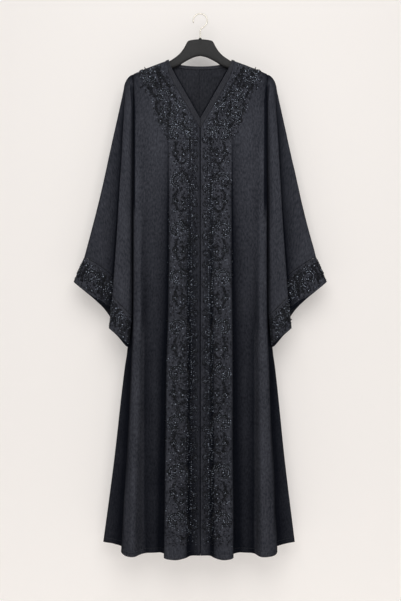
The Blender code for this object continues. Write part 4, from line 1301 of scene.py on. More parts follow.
@dataclass(frozen=True)
class PanelPlan:
    """How a front or a back is cut and how its cloth falls."""

    name: str
    folds: tuple
    top: Formula
    right_spread: dict[str, tuple[float, float]]
    outward: float
    rows: int
    flat: tuple[float, float]
    area: float
    seed: int
    power: float = 1.5
    finer: int = 5

    def points(self, side: Side) -> Array:
        """Either half, on +X: points on splines across the fold lines, each a monotone curve down its levels.

        Args:
            side: RIGHT hangs wider, by the plan's own spread.

        Returns:
            Points, rows from the top edge down, crowded towards it, and columns from the centre out.
        """
        knots, columns = fold_places(self.folds, 4, self.finer)
        weights = spline_weights(knots, columns)
        top_x = weights @ np.array([f[1][0] for f in self.folds]) * MM
        hem_z = weights @ np.array([f[3] for f in self.folds]) * MM
        share = np.linspace(0, 1, self.rows)[:, None] ** self.power
        z = self.top(top_x) + (hem_z - self.top(top_x)) * share
        levels = np.array(BODY_LEVELS)[::-1]
        x, y = np.zeros_like(z), np.zeros_like(z)
        for i, (name, across_mm, depth_mm, _, _) in enumerate(self.folds):
            across = monotone(levels, across_mm[::-1], z)
            if side is Side.RIGHT and name in self.right_spread:
                hip, hem = self.right_spread[name]
                across = across + np.interp(z, SPREAD_LEVELS, (hem, hip, 0))
            x += weights[:, i] * across * MM
            y += weights[:, i] * monotone(levels, depth_mm[::-1], z) * MM
        share = over_hanger(x, z)
        y = y * share + math.copysign(SHOULDER_SEAM_Y, y[-1, 0]) * (1 - share)
        return np.stack([x, y, z], axis=-1)


def arm_gap_depth(z: Array) -> Array:
    """Painted shade of the gap between a front and its sleeve at each height, full from the armhole to the
    elbow.
    """
    return 0.62 * smooth(-0.185, -0.215, z) * smooth(-0.62, -0.52, z)


@dataclass
class BodyPanel:
    """One half of the front or of the back."""

    plan: PanelPlan
    side: Side
    finishes: Finishes
    grid: Grid = field(init=False)

    @property
    def node(self) -> str:
        """Name of the solid that this cloth replaces."""
        return f"{self.plan.name}_{self.side.word}"

    @property
    def in_front(self) -> bool:
        """Whether this is half of the front."""
        return self.plan.outward > 0

    def surface(self) -> Grid:
        """The panel with its ripples, its hem turned up, its laps and its painted shade."""
        points = self.plan.points(self.side)
        cloth = cloth_lengths(points)
        if not self.in_front:
            reach = np.interp(points[..., 2], *BEHIND_SLEEVE) * MM
            points[..., 0] += reach * smooth(0.012, 0.0, cloth[:, -1:, 0] - cloth[..., 0])
        x, z = points[..., 0], points[..., 2]
        made = Grid(points, cloth, self.plan.outward).moved(self.ripple(x, z, cloth))
        self.lap(made)
        if self.in_front:
            made.shade = self.front_shade(made.points, x, z)
        else:
            made.shade = fold_shade(made.points, self.plan.outward)
            # Painted shade on the inside of the back, within the V.
            made.inner = np.maximum(made.shade, self.behind_neck(x, z))
        return made

    def ripple(self, x: Array, z: Array, cloth: Array) -> Array:
        """How far the cloth stands out: at its hem, and in soft ripples that are none at the seams."""
        across, down = cloth[..., 0], cloth[..., 1]
        width = across[:, -1:]
        calm = smooth(0.002, 0.03, across) * smooth(0.0, 0.03, width - across)
        calm *= smooth(0.004, 0.05, down - down[:1])
        calm *= np.where(z > -0.93, smooth(0.186, 0.176, x), smooth(0.0, 0.02, width - across))
        band = smooth(0.11, 0.085, x) * self.in_front
        size = (0.35 + 0.95 * smooth(-0.25, -0.75, z) + 0.4 * smooth(-1.0, -1.5, z)) * (1 - 0.6 * band) * MM
        seed = self.plan.seed + (self.side is Side.RIGHT) * 31
        fine = ripples(across, down, seed, (0.071, 0.047, 0.031, 0.022), 0.9)
        long_waves = ripples(across, down, seed + 7, (0.16, 0.11), 0.25)
        lift = calm * size * (0.75 * fine + 0.8 * long_waves)
        turn = HEM_STEP * smooth(HEM_TURN + 1.5 * MM, HEM_TURN, down[-1:] - down)
        return lift + turn * calm

    def lap(self, made: Grid) -> None:
        """Carries the edges that lie under a neighbour a little on or back, and inwards."""
        if not self.in_front:
            onward = unit(made.points[:, -1] - made.points[:, -2]) * SIDE_LAP[0]
            inward = made.normals()[:, -1] * SIDE_LAP[1]
            made.points[:, -1] += (onward - inward) * smooth(-0.90, -0.96, made.points[:, -1:, 2])
            if self.side is Side.LEFT:
                made.points[:, 0, :2] += BACK_LAP
        elif self.side is Side.RIGHT:
            above_hem = made.cloth[-1:, :1, 1] - made.cloth[:, :1, 1]
            low = smooth(0.060, 0.030, above_hem) * smooth(0.007, 0.011, above_hem)
            made.points[:, 0, :2] += low * np.array(FRONT_LAP)

    def front_shade(self, points: Array, x: Array, z: Array) -> Array:
        """The painted shade in a front's folds, under the other front's edge, along the opening and in the gap
        before the sleeve.

        It is painted deeper in the groove beside the opening, and lighter on the side crest's flank below the
        sleeve.
        """
        crest = np.interp(points[:, -1, 2], *SLEEVE_CREST)
        shade = fold_shade(points, self.plan.outward, np.stack([0 * crest + SLEEVE_CREST_X, crest], -1))
        # Painted shade under the other front's edge, on the right front only.
        under = 0.13 * (self.side is Side.RIGHT) * smooth(0.032, 0.022, x)
        # Painted shade, deeper in the groove beside the opening.
        shade = shade * (1 + 0.4 * np.exp(-(((x - 0.034) / 0.009) ** 2))) + under
        # Less painted shade on the side crest's flank below the sleeve.
        flank = smooth(*SIDE_FLANK[self.side], x) * smooth(0.192, 0.180, x)
        shade *= 1 - 0.6 * flank * smooth(-0.86, -0.93, z)
        # Painted shade: a dark line along the opening's edge.
        shade = np.maximum(shade, 0.55 * smooth(3.5 * MM, 0.8 * MM, x))
        # Painted shade in the gap before the sleeve.
        start = ARM_GAP[self.side][0] + 4 * MM * smooth(-0.27, -0.20, z)
        return np.maximum(shade, smooth(start - 1.2 * MM, start + 0.6 * MM, x) * arm_gap_depth(z))

    @staticmethod
    def behind_neck(x: Array, z: Array) -> Array:
        """The painted shade on the inside of the back, just within the opening that the V leaves."""
        edge = (z - FRONT_NECK_Z) / V_SLOPE
        return 0.6 * smooth(edge - 10 * MM, edge - 3 * MM, x) * smooth(-0.33, -0.30, z)

    def build(self) -> None:
        self.grid = self.surface()
        face, reverse = self.finishes.crepe, self.finishes.reverse
        made = cloth_object(f"{self.node}_cloth", self.grid, self.side, CLOTH, face, reverse)
        dressed(made, "crepe", self.node)
        self.sew()

    def sew(self) -> None:
        """Stitches the hem, and on a front the edge and the facing beside the opening."""
        across, down = self.grid.cloth[..., 0], self.grid.cloth[..., 1]
        columns = np.arange(1, down.shape[1] - 1)
        lines = [(crossing((down - down[-1:] + HEM_TURN).T, 0.0)[columns], columns)]
        if self.in_front:
            rows = np.flatnonzero(self.grid.points[:-1, 0, 2] < FRONT_NECK_Z - 0.02)
            lines += [(rows, crossing(across, inset)[rows]) for inset in (2.2 * MM, 12.5 * MM)]
        stitches = Stitches(self.side, 0.45 * CLOTH)
        for rows, columns in lines:
            stitches.run(self.grid, rows, columns)
        dressed(stitches.build(f"{self.node}_stitches", self.finishes.thread), "crepe")


@dataclass
class Sleeve:
    """One sleeve, cut as a front and a back half, and its cuff."""

    side: Side
    finishes: Finishes
    finer: int = 5
    rows: int = 96
    dome_rows: int = 16
    drawn_back: float = 0.42 * MM  # each half from the over-arm seam
    halves: dict[str, Grid] = field(default_factory=dict)
    cuff: Grid = field(init=False)

    @property
    def seam(self) -> int:
        """Column of the over-arm seam."""
        return column_of(SLEEVE_FOLDS, OVERARM_FOLD, self.finer)

    def surface(self) -> Grid:
        """The whole sleeve from the armhole to the cuff seam, with ripples that fade out at its seams."""
        below = sleeve_controls(np.linspace(0, 1, self.rows))
        points = sleeve_columns(np.concatenate([dome_controls(self.dome_rows), below]), self.finer)
        cloth = cloth_lengths(points)
        across, down = cloth[..., 0], cloth[..., 1]
        fall = smooth(0.03, 0.16, down - down[:1]) * smooth(0.0, 0.03, down[-1:] - down)
        inside = smooth(0.196, 0.206, points[..., 0])
        seed = 211 + (self.side is Side.RIGHT) * 17
        fine = ripples(across, down, seed, (0.058, 0.037, 0.024), 1.1)
        long_waves = ripples(across, down, seed + 3, (0.13, 0.09), 0.5)
        beside = smooth(0.0, 0.018, np.abs(across - across[:, self.seam : self.seam + 1]))
        lift = fall * inside * (0.25 + 0.75 * beside) * (0.55 * fine + 0.6 * long_waves) * MM
        away = np.interp(points[..., 2], (-0.80, -0.75, -0.26, -0.22), (0, 1, 1, 0)) * MM
        points[..., 0] += away * smooth(0.009, 0.0, across[:, -1:] - across)
        x, z = points[..., 0], points[..., 2]
        made = Grid(points, cloth).moved(lift)
        # Painted shade in the folds of the sleeve.
        made.shade = self.fold_shade(made.points)
        # Painted shade in the gap between the sleeve's front half and the body.
        end = ARM_GAP[self.side][1] + 4 * MM * smooth(-0.27, -0.20, z)
        hidden = 0.75 * smooth(end + 1 * MM, end - 1 * MM, x) * arm_gap_depth(z)
        front = slice(0, self.seam + 1)
        made.shade[:, front] = np.maximum(made.shade, hidden)[:, front]
        return made

    def fold_shade(self, points: Array) -> Array:
        """The painted shade in the folds of both halves, the front one also beside the body."""
        body = np.tile(BODY_CREST, (len(points), 1))
        front, back = points[:, : self.seam + 1], points[:, self.seam + 1 :]
        return SLEEVE_SHADE * np.concatenate([fold_shade(front, 1.0, body), fold_shade(back, -1.0)], axis=1)

    def cut(self, whole: Grid) -> None:
        """Parts the sleeve along the over-arm seam, each half drawn back a little from it."""
        halves = (("front", slice(0, self.seam + 1), -1, -2), ("back", slice(self.seam, None), 0, 1))
        for word, part, end, inner in halves:
            points = whole.points[:, part].copy()
            points[:, end] += unit(points[:, inner] - points[:, end]) * self.drawn_back
            self.halves[word] = Grid(points, whole.cloth[:, part], 1.0, whole.shade[:, part])

    def cuff_surface(self, rows: int = 40) -> Grid:
        """The cuff band, carried on from the seam to its edge, a seam's gap below the sleeve."""
        seam = sleeve_controls(np.ones(1))[0]
        edge = np.array([(f[2][4], f[3][4], f[4][2]) for f in SLEEVE_FOLDS]) * MM
        seam, edge = (sleeve_columns(line[None], self.finer)[0] for line in (seam, edge))
        along = unit(np.gradient(seam, axis=0))
        down = unit(edge - seam)
        sine = np.linalg.norm(np.cross(along, down), axis=1, keepdims=True)
        start = seam + down * CUFF_SEAM_GAP * 1.6 / np.maximum(sine, 0.2)
        points = start + (edge - start) * np.linspace(0, 1, rows)[:, None, None]
        made = Grid(points, cloth_lengths(points))
        made.shade = self.cuff_shade(made)
        return made

    def cuff_shade(self, cuff: Grid) -> Array:
        """Painted shade in the cuff's folds, and a painted dark lip along its edge under each of two arcs."""
        above_edge = cuff.cloth[-1:, :, 1] - cuff.cloth[..., 1]
        x = cuff.points[-1:, :, 0] / MM
        inner = np.arange(x.shape[1]) < column_of(SLEEVE_FOLDS, TURN_FOLD, self.finer)
        deep = np.where(inner, np.interp(x, *INNER_LIP), np.interp(x, *OUTER_LIP))
        deep[:, self.seam :] = 0
        # Painted shade: a near-black lip along the edge, standing for the shaded inside that shows below the
        # cuff.
        lip = 0.97 * smooth(deep * MM + 1.2 * MM, deep * MM - 0.6 * MM, above_edge) * np.minimum(deep, 1)
        return np.maximum(self.fold_shade(cuff.points), lip)

    def build(self) -> None:
        self.cut(self.surface())
        self.cuff = self.cuff_surface()
        side, face, reverse = self.side, self.finishes.crepe, self.finishes.reverse
        for word, grid in self.halves.items():
            node = f"sleeve_{word}_{side.word}"
            made = cloth_object(f"{node}_cloth", grid, side, CLOTH, face, reverse)
            dressed(made, "crepe", node)
        node = f"cuff_{side.word}"
        made = cloth_object(f"{node}_cloth", self.cuff, side, CLOTH * 1.2, face, reverse)
        dressed(made, "lace", node)
        self.sew()

    def sew(self) -> None:
        """Stitches beside the cuff seam, a row on the sleeve and three on the cuff, and one on its edge."""
        stitches = Stitches(self.side, 0.5 * CLOTH)
        down = self.cuff.cloth[..., 1]
        lines = [(self.cuff, crossing(down.T, at * MM)) for at in (1.8, 4.6, 8.4)]
        lines.append((self.cuff, crossing((down - down[-1:]).T, -4.5 * MM)))
        for half in self.halves.values():
            lines.append((half, crossing((half.cloth[..., 1] - half.cloth[-1:, :, 1]).T, -2 * MM)))
        for grid, rows in lines:
            stitches.run(grid, rows[1:-1], np.arange(1, len(rows) - 1))
        dressed(stitches.build(f"cuff_{self.side.word}_stitches", self.finishes.thread), "lace")


SOLID_ROWS = 22  # rows of points down a panel's solid, crowded towards its top by their square


def cloth_rows(plan: PanelPlan, at: Array) -> Array:
    """Rows of a panel's cloth that stand where fractional rows of its solid do."""
    row = np.arange(SOLID_ROWS)
    share = np.interp(at, row, (row / (SOLID_ROWS - 1)) ** 2.0)
    return share ** (1 / plan.power) * (plan.rows - 1)


@dataclass
class NeckBands:
    """The facings along both edges of the V and inside the back neckline."""

    fronts: dict[Side, BodyPanel]
    back: BodyPanel
    finishes: Finishes

    def front_band(self, panel: BodyPanel) -> Grid:
        """A strip along the V edge that lies on the front: its rows go in from the edge."""
        plan = panel.plan
        inward = np.linspace(0, 1, 9)[:, None]
        coarse = np.interp(inward * 3, np.arange(4), (0.0, 1.0, 2.0, 3.17))
        ends = np.interp(inward * 3, np.arange(4), (11.0, 10.92, 10.6, 10.15)) * plan.finer
        columns = ends * np.linspace(0, 1, 90)[None]
        rows = cloth_rows(plan, coarse) + 0 * columns
        at, out, cloth = panel.grid.at(rows, columns)
        swell = 0.35 * MM * np.sin(math.pi * inward) ** 0.5
        lift = 0.5 * CAD_WALL + TRIM_GAP + 0.3 * TRIM_WALL + swell
        return Grid(at + out * lift[..., None], cloth)

    def back_band(self) -> Grid:
        """The strip inside the back neckline, both halves in one."""
        plan = self.back.plan
        inward = np.linspace(0, 1, 8)[:, None]
        coarse = np.interp(inward * 2, np.arange(3), (0.0, 1.0, 1.65))
        columns = np.linspace(1, 5, 36)[None] * plan.finer + 0 * inward
        rows = cloth_rows(plan, coarse) + 0 * columns
        at, out, cloth = self.back.grid.at(rows, columns)
        half = at - out * (0.5 * CAD_WALL + TRIM_GAP + 0.5 * TRIM_WALL)
        points = np.concatenate([half[:, ::-1] * [-1, 1, 1], half], axis=1)
        lengths = np.concatenate([cloth[:, ::-1] * [-1, 1], cloth], axis=1)
        return Grid(points, lengths)

    def strip(
        self,
        grid: Grid,
        side: Side,
        word: str,
        rests_on: str,
        rows: Place,
        count: int,
    ) -> None:
        """Args:
            grid: Its surface on the wearer's left.
            side: RIGHT mirrors it.
            word: What its name ends with.
            rests_on: The cloth that it lies on; not used.
            rows: Fractional rows of the stitches.
            count: Points along each row of stitches.
        """
        made = cloth_object(f"neck_band_{word}_cloth", grid, side, CLOTH * 0.8, self.finishes.neck_band)
        dressed(made, "neck_band", f"neck_band_{word}")
        stitches = Stitches(side, 0.4 * CLOTH, 2.6 * MM)
        columns = np.linspace(0.5, grid.points.shape[1] - 1.5, count)
        for row in rows:
            stitches.run(grid, np.full_like(columns, row), columns)
        dressed(stitches.build(f"neck_band_{word}_stitches", self.finishes.thread), "neck_band")

    def build(self) -> None:
        """Makes the three bands."""
        for side, panel in self.fronts.items():
            grid, cloth = self.front_band(panel), f"front_{side.word}_cloth"
            self.strip(grid, side, side.word, cloth, (1.1, 6.9), 260)
        grid = self.back_band()
        self.strip(grid, Side.LEFT, "back", "back_left_cloth", (1.2, 5.8), 200)


# ---- hanger
HOOK_RADIUS = 18 * MM
WIRE_RADIUS = 1.9 * MM
HOOK_TIP_ANGLE = 200.0
HOOK_LEAVE_ANGLE = -52.0
HOOK_STRAIGHT_Z = -50 * MM
STEM_FOOT_Z = -86 * MM
HANGER_TOP_Z = -71.3 * MM
FERRULE_RADIUS = 4.2 * MM
FERRULE_HEIGHT = 3.2 * MM
HANGER_TIP = 0.6 * MM  # how far the shell's closing points stand beyond its last sections
ROUND = np.linspace(0, TURN, 48, endpoint=False)  # angles round the shell's sections and the collar


@dataclass
class Hanger:
    """The moulded hanger with its wire hook and the collar round the stem."""

    finishes: Finishes

    def stations(self, x: Array) -> tuple[Array, ...]:
        """Top, bottom, half depth and squareness of the section at each distance from the middle."""
        table = np.array(HANGER_STATIONS, float)
        scale = (MM, MM, MM, 1.0)
        return tuple(monotone(table[:, 0] * MM, table[:, k + 1] * scale[k], np.abs(x)) for k in range(4))

    def shell(self) -> tuple[Array, Array]:
        """Rounded sections from tip to tip, each a superellipse, drawn in to a point at both tips."""
        half = HANGER_STATIONS[-1][0] * MM * np.sin(np.linspace(0, 0.5 * math.pi, 90))
        x = np.concatenate([-half[:0:-1], half])
        top, bottom, depth, square = self.stations(x)
        power = (2.0 / square)[:, None]
        cos, sin = np.cos(ROUND), np.sin(ROUND)
        y = depth[:, None] * np.sign(cos) * np.abs(cos) ** power
        half_height, middle = 0.5 * (top - bottom)[:, None], 0.5 * (top + bottom)[:, None]
        z = half_height * np.sign(sin) * np.abs(sin) ** power + middle
        rings = np.stack([x[:, None] + 0 * y, y, z], -1)
        return ring_skin(rings, rings[[0, -1]].mean(axis=1) + [[-HANGER_TIP, 0, 0], [HANGER_TIP, 0, 0]])

    def hook_line(self) -> Array:
        """The hook's centre line: stem, an easing bend, then the arc over the rail to the tip."""
        radius = HOOK_RADIUS + WIRE_RADIUS
        angles = np.radians(np.linspace(HOOK_LEAVE_ANGLE, HOOK_TIP_ANGLE, 84))
        over = np.stack([radius * np.cos(angles), 0 * angles, -HOOK_RADIUS + radius * np.sin(angles)], -1)
        stem = np.zeros((14, 3))
        stem[:, 2] = np.linspace(STEM_FOOT_Z, HOOK_STRAIGHT_Z, 14)
        pull = 0.45 * np.linalg.norm(stem[-1] - over[0])
        up, heading = np.array([0, 0, pull]), np.array([math.sin(angles[0]), 0, -math.cos(angles[0])])
        t = np.linspace(0, 1, 18)[1:-1, None]
        bend = bezier((stem[-1], stem[-1] + up, over[0] + heading * pull, over[0]), t)
        return np.concatenate([stem, bend, over])

    def wire(self) -> tuple[Array, Array]:
        """The hook's round wire along its centre line in the plane y = 0, drawn in at its tip."""
        line = self.hook_line()
        radii = np.full((len(line), 1), WIRE_RADIUS)
        radii[-4:, 0] *= (0.97, 0.86, 0.62, 0.3)
        side = np.array([0.0, 1.0, 0.0])
        other = np.cross(unit(np.gradient(line, axis=0)), side)
        angle = np.linspace(0, TURN, 20, endpoint=False)
        cos, sin = ((radii * turned(angle))[..., None] for turned in (np.cos, np.sin))
        return ring_skin(line[:, None] + side * cos + other[:, None] * sin, line[[0, -1]])

    def collar(self) -> tuple[Array, Array]:
        """The collar round the stem: a rounded profile turned about it, and its quads."""
        low = HANGER_TOP_Z + 0.3 * MM
        inner = WIRE_RADIUS + 0.1 * MM
        height = np.array([0, 0.35, 0.62, 0.84, 0.96, 1.0]) * FERRULE_HEIGHT + low
        radius = FERRULE_RADIUS * np.array([1.0, 1.0, 0.97, 0.9, 0.8, 0.68])
        profile = np.concatenate([[[inner, low]], np.stack([radius, height], -1), [[inner, height[-1]]]])
        out, up = profile[:, :1], profile[:, 1:]
        ring = np.stack([out * np.cos(ROUND), out * np.sin(ROUND), up + 0 * ROUND], -1)
        index = np.arange(ring.shape[0] * ring.shape[1]).reshape(ring.shape[:2])
        down, after = np.roll(index, -1, axis=0), np.roll(index, -1, axis=1)
        quads = np.stack([index, after, np.roll(down, -1, axis=1), down], -1).reshape(-1, 4)
        return ring.reshape(-1, 3), quads

    def build(self) -> None:
        """Makes the shell, the hook and the collar."""
        plastic, steel = self.finishes.plastic, self.finishes.steel
        body = new_object("hanger_shell", quick_mesh("hanger_shell", *self.shell()), plastic)
        dressed(body, "hanger_plastic", "hanger_body")
        hook = new_object("hook_wire", quick_mesh("hook_wire", *self.wire()), steel)
        dressed(hook, "hook_steel", "hanger_hook")
        collar = new_object("stem_collar", quick_mesh("stem_collar", *self.collar()), plastic)
        dressed(collar, "hanger_plastic", "hanger_ferrule")


# ---- embroidery
# The design is in millimetres out from the centre and up from the hook's top. A wreath of the yoke is its
# middle, radius and start in degrees; a flower is its middle and radius.
WREATH_HEIGHTS = (-339, -475, -612.5, -747, -887, -1015.5, -1152, -1291, -1424)
WREATH_X, WREATH_RADIUS = 63.5, 18.5
YOKE_WREATHS = (
    (141, -179, 17, 200), (105, -232.6, 16, 250), (57, -263.6, 13, 300), (99, -280, 15, 220),
    (68, -314.5, 12, 250),
)
YOKE_FLOWERS = (
    (165, -165, 7), (128, -165, 6), (134, -208, 6), (79, -286, 6), (112, -306, 6.5), (80, -232, 5.5),
)
YOKE_BRANCHES = (  # control points, then length of leaf
    (((158, -150), (150, -172), (128, -196), (119, -214)), 7.5),
    (((122, -150), (114, -176), (116, -196), (108, -214)), 7.0),
    (((150, -196), (146, -214), (134, -228), (124, -240)), 6.5),
    (((92, -216), (80, -226), (70, -240), (66, -252)), 6.5),
    (((121, -246), (128, -262), (122, -280), (114, -288)), 6.0),
    (((86, -246), (82, -262), (84, -276), (86, -290)), 6.0),
    (((96, -297), (94, -312), (86, -322), (80, -326)), 6.0),
    (((52, -277), (44, -288), (44, -300), (48, -316)), 6.0),
    (((112, -168), (104, -186), (96, -200), (84, -212)), 6.5),
)
# Branches of one repeat, with control points up from its wreath's middle, then length of leaf and gap: those
# that spring from the wreath, and those that lead on to the next.
WREATH_BRANCHES = (
    (((60, 20), (44, 33), (29, 10), (29, -36)), 7.5, 5.4),
    (((29, -36), (30, -52), (44, -58), (52, -44)), 6.5, 5.0),
)
LINK_BRANCHES = (
    (((62, -24), (74, -40), (72, -72), (60, -84)), 6.0, 5.0),
    (((62, -84), (50, -92), (42, -84), (40, -74)), 5.5, 4.6),
)
# Strings of beads beside them: control points, then gap, size and likelihood of a bright bead.
WREATH_STRINGS = (
    (((54, 22), (40, 30), (34, 8), (34, -30)), 6.0, 1.3, 0.8),
    (((24, 30), (22, 8), (26, -14), (24, -40)), 6.0, 1.2, 0.7),
)
LINK_STRINGS = (
    (((34, -34), (30, -56), (38, -82), (33, -106)), 6.0, 1.25, 0.75),
    (((25, -44), (21, -64), (28, -86), (24, -106)), 6.4, 1.2, 0.7),
)
SCALLOPS = ((-20, 9.0), (-66, 6.5), (-100, 8.0))  # height from the wreath's middle and radius
YOKE_FOOT, YOKE_END = -360, -372  # where the yoke's denser ground ends, and its slanting outer edge
# The yoke's outer edge: heights, then distances across.
YOKE_EDGE = ((-372, -328, -298, -272, -248, -226, -208, -140), (90, 108, 121, 134, 138, 150, 168, 178))
LACE_FOOT = -1497.0
LACE_BOX = (6, LACE_FOOT - 2, 180, -134)
# Branches beside each wreath of a cuff: across from its middle and share of the cuff's height, then leaf.
CUFF_BRANCHES = (
    (((20, 0.86), (30, 0.7), (34, 0.4), (28, 0.2)), 6.5),
    (((-18, 0.2), (-26, 0.3), (-24, 0.6), (-18, 0.84)), 6.0),
)


@dataclass
class FrontLace:
    """The corded and beaded embroidery down one front, from the shoulder to just above the hem."""

    panel: BodyPanel
    finishes: Finishes

    def spread(self, z: Array) -> Array:
        """How much wider the right half hangs at this height, as a factor across."""
        if self.panel.side is Side.LEFT:
            return np.ones_like(z)
        return 1 + np.interp(z, (-1530, -1000, -840), (0.09, 0.05, 0.0))

    def repeat(self, plan: Layout, z: float, first: bool, last: bool) -> None:
        """One repeat of the border: a wreath, branches that spring from it, scallops and small flowers."""

        def up(controls: Iterable[Place]) -> Array:
            """A curve whose control points are given up from the wreath's middle."""
            return bezier((x, z + rise) for x, rise in controls)

        draw = plan.draw
        centre = (WREATH_X + draw.uniform(-1, 1), z)
        plan.wreath(centre, WREATH_RADIUS, 262 + draw.uniform(-6, 6), 284)
        for controls, leaf, gap in WREATH_BRANCHES:
            plan.stem(up(controls), leaf, gap)
        for controls, *beads in WREATH_STRINGS:
            plan.string(up(controls), *beads)
        if not last:
            for controls, leaf, gap in LINK_BRANCHES:
                plan.stem(up(controls), leaf, gap)
            plan.flower((70, z - 58), 8.0, 6)
            plan.flower((47, z - 62), 5.6, 5)
            plan.cords.append(curl((57, z - 100), 6.5, 90, 1.3))
            plan.string(arc((69, z - 74), 13.5, 70, 250), 5.4, 1.35, 0.85)
            for controls, *beads in LINK_STRINGS:
                plan.string(up(controls), *beads)
            for fall in (40, 62, 84):
                plan.leaves.append((76 + draw.uniform(-3, 1), z - fall, draw.uniform(2.2, 4.2), 5.5))
        for rise, radius in SCALLOPS[:1] if last else SCALLOPS:
            centre = (14, z + rise)
            plan.cords.append(arc(centre, radius, 80, 300))
            plan.string(arc(centre, radius * 0.95, 90, 280), 4.8, 1.2, 0.75)
            plan.string(arc(centre, radius * 0.4, 0, 300), 4.6, 1.1, 0.6)
            plan.leaves += [(17, z + rise + k * 6.0, 0.2 * k, 6.0) for k in (-1, 0, 1)]
        if first:
            plan.flower((44, z + 30), 7.0, 6)

    def yoke(self, plan: Layout) -> None:
        """The wider field over the chest and the shoulder: smaller wreaths joined by leafy branches."""
        for x, z, radius, start in YOKE_WREATHS:
            plan.wreath((x, z), radius, start, 286)
        plan.wreath((33, -336), 11.0, 250, 280)
        for controls, leaf in YOKE_BRANCHES:
            plan.stem(bezier(controls), leaf, leaf * 0.72)
        for x, z, radius in YOKE_FLOWERS:
            plan.flower((x, z), radius, 6)

    def likely(self, places: Array) -> Array:
        """Where curls fill the ground: thick by the groove, thin over the band, few inside the wreaths."""
        x, z = places[:, 0], places[:, 1]
        groove = np.exp(-(((x - 29) / 8.5) ** 2))
        band = 0.12 + 0.3 * smooth(64, 48, x) + 0.45 * groove - 0.25 * smooth(18, 12, x)
        v_edge = np.maximum((z * MM - FRONT_NECK_Z) / V_SLOPE / MM + 20.5, 8)
        outer = np.where(z > YOKE_END, np.interp(z, *YOKE_EDGE), 89)
        share = np.where(z > YOKE_FOOT, 0.56, band)
        share = share * smooth(-4, 5, outer - x) * smooth(-0.5, 2, x - v_edge)
        share *= smooth(LACE_FOOT - 4, LACE_FOOT + 10, z)
        wreaths = [(WREATH_X, height, WREATH_RADIUS) for height in WREATH_HEIGHTS]
        for wreath_x, wreath_z, radius, *_ in [*wreaths, *YOKE_WREATHS]:
            away = np.hypot(x - wreath_x, z - wreath_z)
            share *= smooth(radius * 0.9, radius * 1.08, away) * 0.92 + 0.08
        return share * (z * MM < np.minimum(ridge_z(x * MM), 0) - 4 * MM)

    def loose(self, places: Array) -> Array:
        """Where loose beads lie: over the yoke, and along the wreaths of the band."""
        x, z = places[:, 0], places[:, 1]
        rings = np.zeros_like(x)
        for height in WREATH_HEIGHTS:
            away = np.hypot(x - WREATH_X, z - height)
            rings = np.maximum(rings, np.exp(-(((away - 17.0) / 5.0) ** 2)))
        likely = self.likely(places)
        return np.where(z > YOKE_FOOT, likely, 0.5 * likely + 0.4 * rings)

    def build(self) -> None:
        """Draws the design, lays it on the front and makes its cords and its beads."""
        panel = self.panel
        plan = Layout(seed=51 + 13 * (panel.side is Side.RIGHT))
        for k, z in enumerate(WREATH_HEIGHTS):
            self.repeat(plan, z, k == 0, k == len(WREATH_HEIGHTS) - 1)
        self.yoke(plan)
        plan.filling(self.likely, LACE_BOX, 4.7)
        plan.sprinkle(self.loose, LACE_BOX, 800)
        last = column_of(FRONT_FOLDS, SIDE_CREST_FOLD, panel.plan.finer)
        ground = FrontGround(panel.grid.moved(0.5 * CLOTH), last)
        name = f"lace_{panel.side.word}"
        lay_embroidery(plan, ground, self.spread, panel.side, name, self.finishes, [name])


LARGE_CORD = 12  # millimetres: a cord that spans more is thicker


def lay_embroidery(
    plan: Layout,
    ground: Ground,
    spread: Formula,
    side: Side,
    name: str,
    finishes: Finishes,
    nodes: list[str],
) -> None:
    """Turns a design into one piece of cords and leaves and one of beads.

    Args:
        plan: The design, millimetres.
        ground: What it lies on.
        spread: Factor across at each height.
        side: RIGHT mirrors it.
        name: Start of the pieces' names.
        finishes: The cloak's materials.
        nodes: Solids that the cords replace.
    """

    def on_ground(places: Array) -> tuple[Array, Array]:
        """Points and normals of places in millimetres, with the factor across applied."""
        return ground.place(wide(places) * MM)

    def wide(places: Array) -> Array:
        """Places with the factor across applied."""
        return places * np.stack([spread(places[:, 1]), np.ones(len(places))], -1)

    def mirrored(points: Array, faces: Array) -> tuple[Array, Array]:
        """Points and triangles carried to their side, still facing out."""
        return points * side.flip, faces if side is Side.LEFT else faces[:, ::-1]

    large = [wide(s) for s in plan.cords if np.ptp(s, axis=0).max() > LARGE_CORD]
    small = [wide(s) for s in plan.cords if np.ptp(s, axis=0).max() <= LARGE_CORD]
    leaves, beads = np.array(plan.leaves), np.array(plan.beads)
    at, out = on_ground(leaves[:, :2])
    ahead = leaves[:, :2] + 0.5 * np.stack([np.cos(leaves[:, 2]), np.sin(leaves[:, 2])], -1)
    toward, _ = on_ground(ahead)
    parts = [
        tubes(ground, large, 1.3 * MM, 3.0),
        tubes(ground, small, 1.15 * MM, 2.1),
        satin_leaf().scatter(at, toward - at, out, leaves[:, 3] * MM),
    ]
    mesh = quick_mesh(f"{name}_cords", *mirrored(*joined(parts)))
    dressed(new_object(f"{name}_cords", mesh, finishes.lace), "lace", *nodes)
    at, out = on_ground(beads[:, :2])
    bead = round_bead()
    size = beads[:, 2:3] * MM
    sizes = size * [1.0, 1.0, 0.8]
    skin = bead.scatter(at + out * (size * 0.55), np.cross(out, [0.0, 0.0, 1.0]), out, sizes)
    mesh = quick_mesh(f"{name}_beads", *mirrored(*skin))
    give_value(mesh, "shade", np.repeat(beads[:, 3], len(bead.points)))
    dressed(new_object(f"{name}_beads", mesh, finishes.beads), "lace")


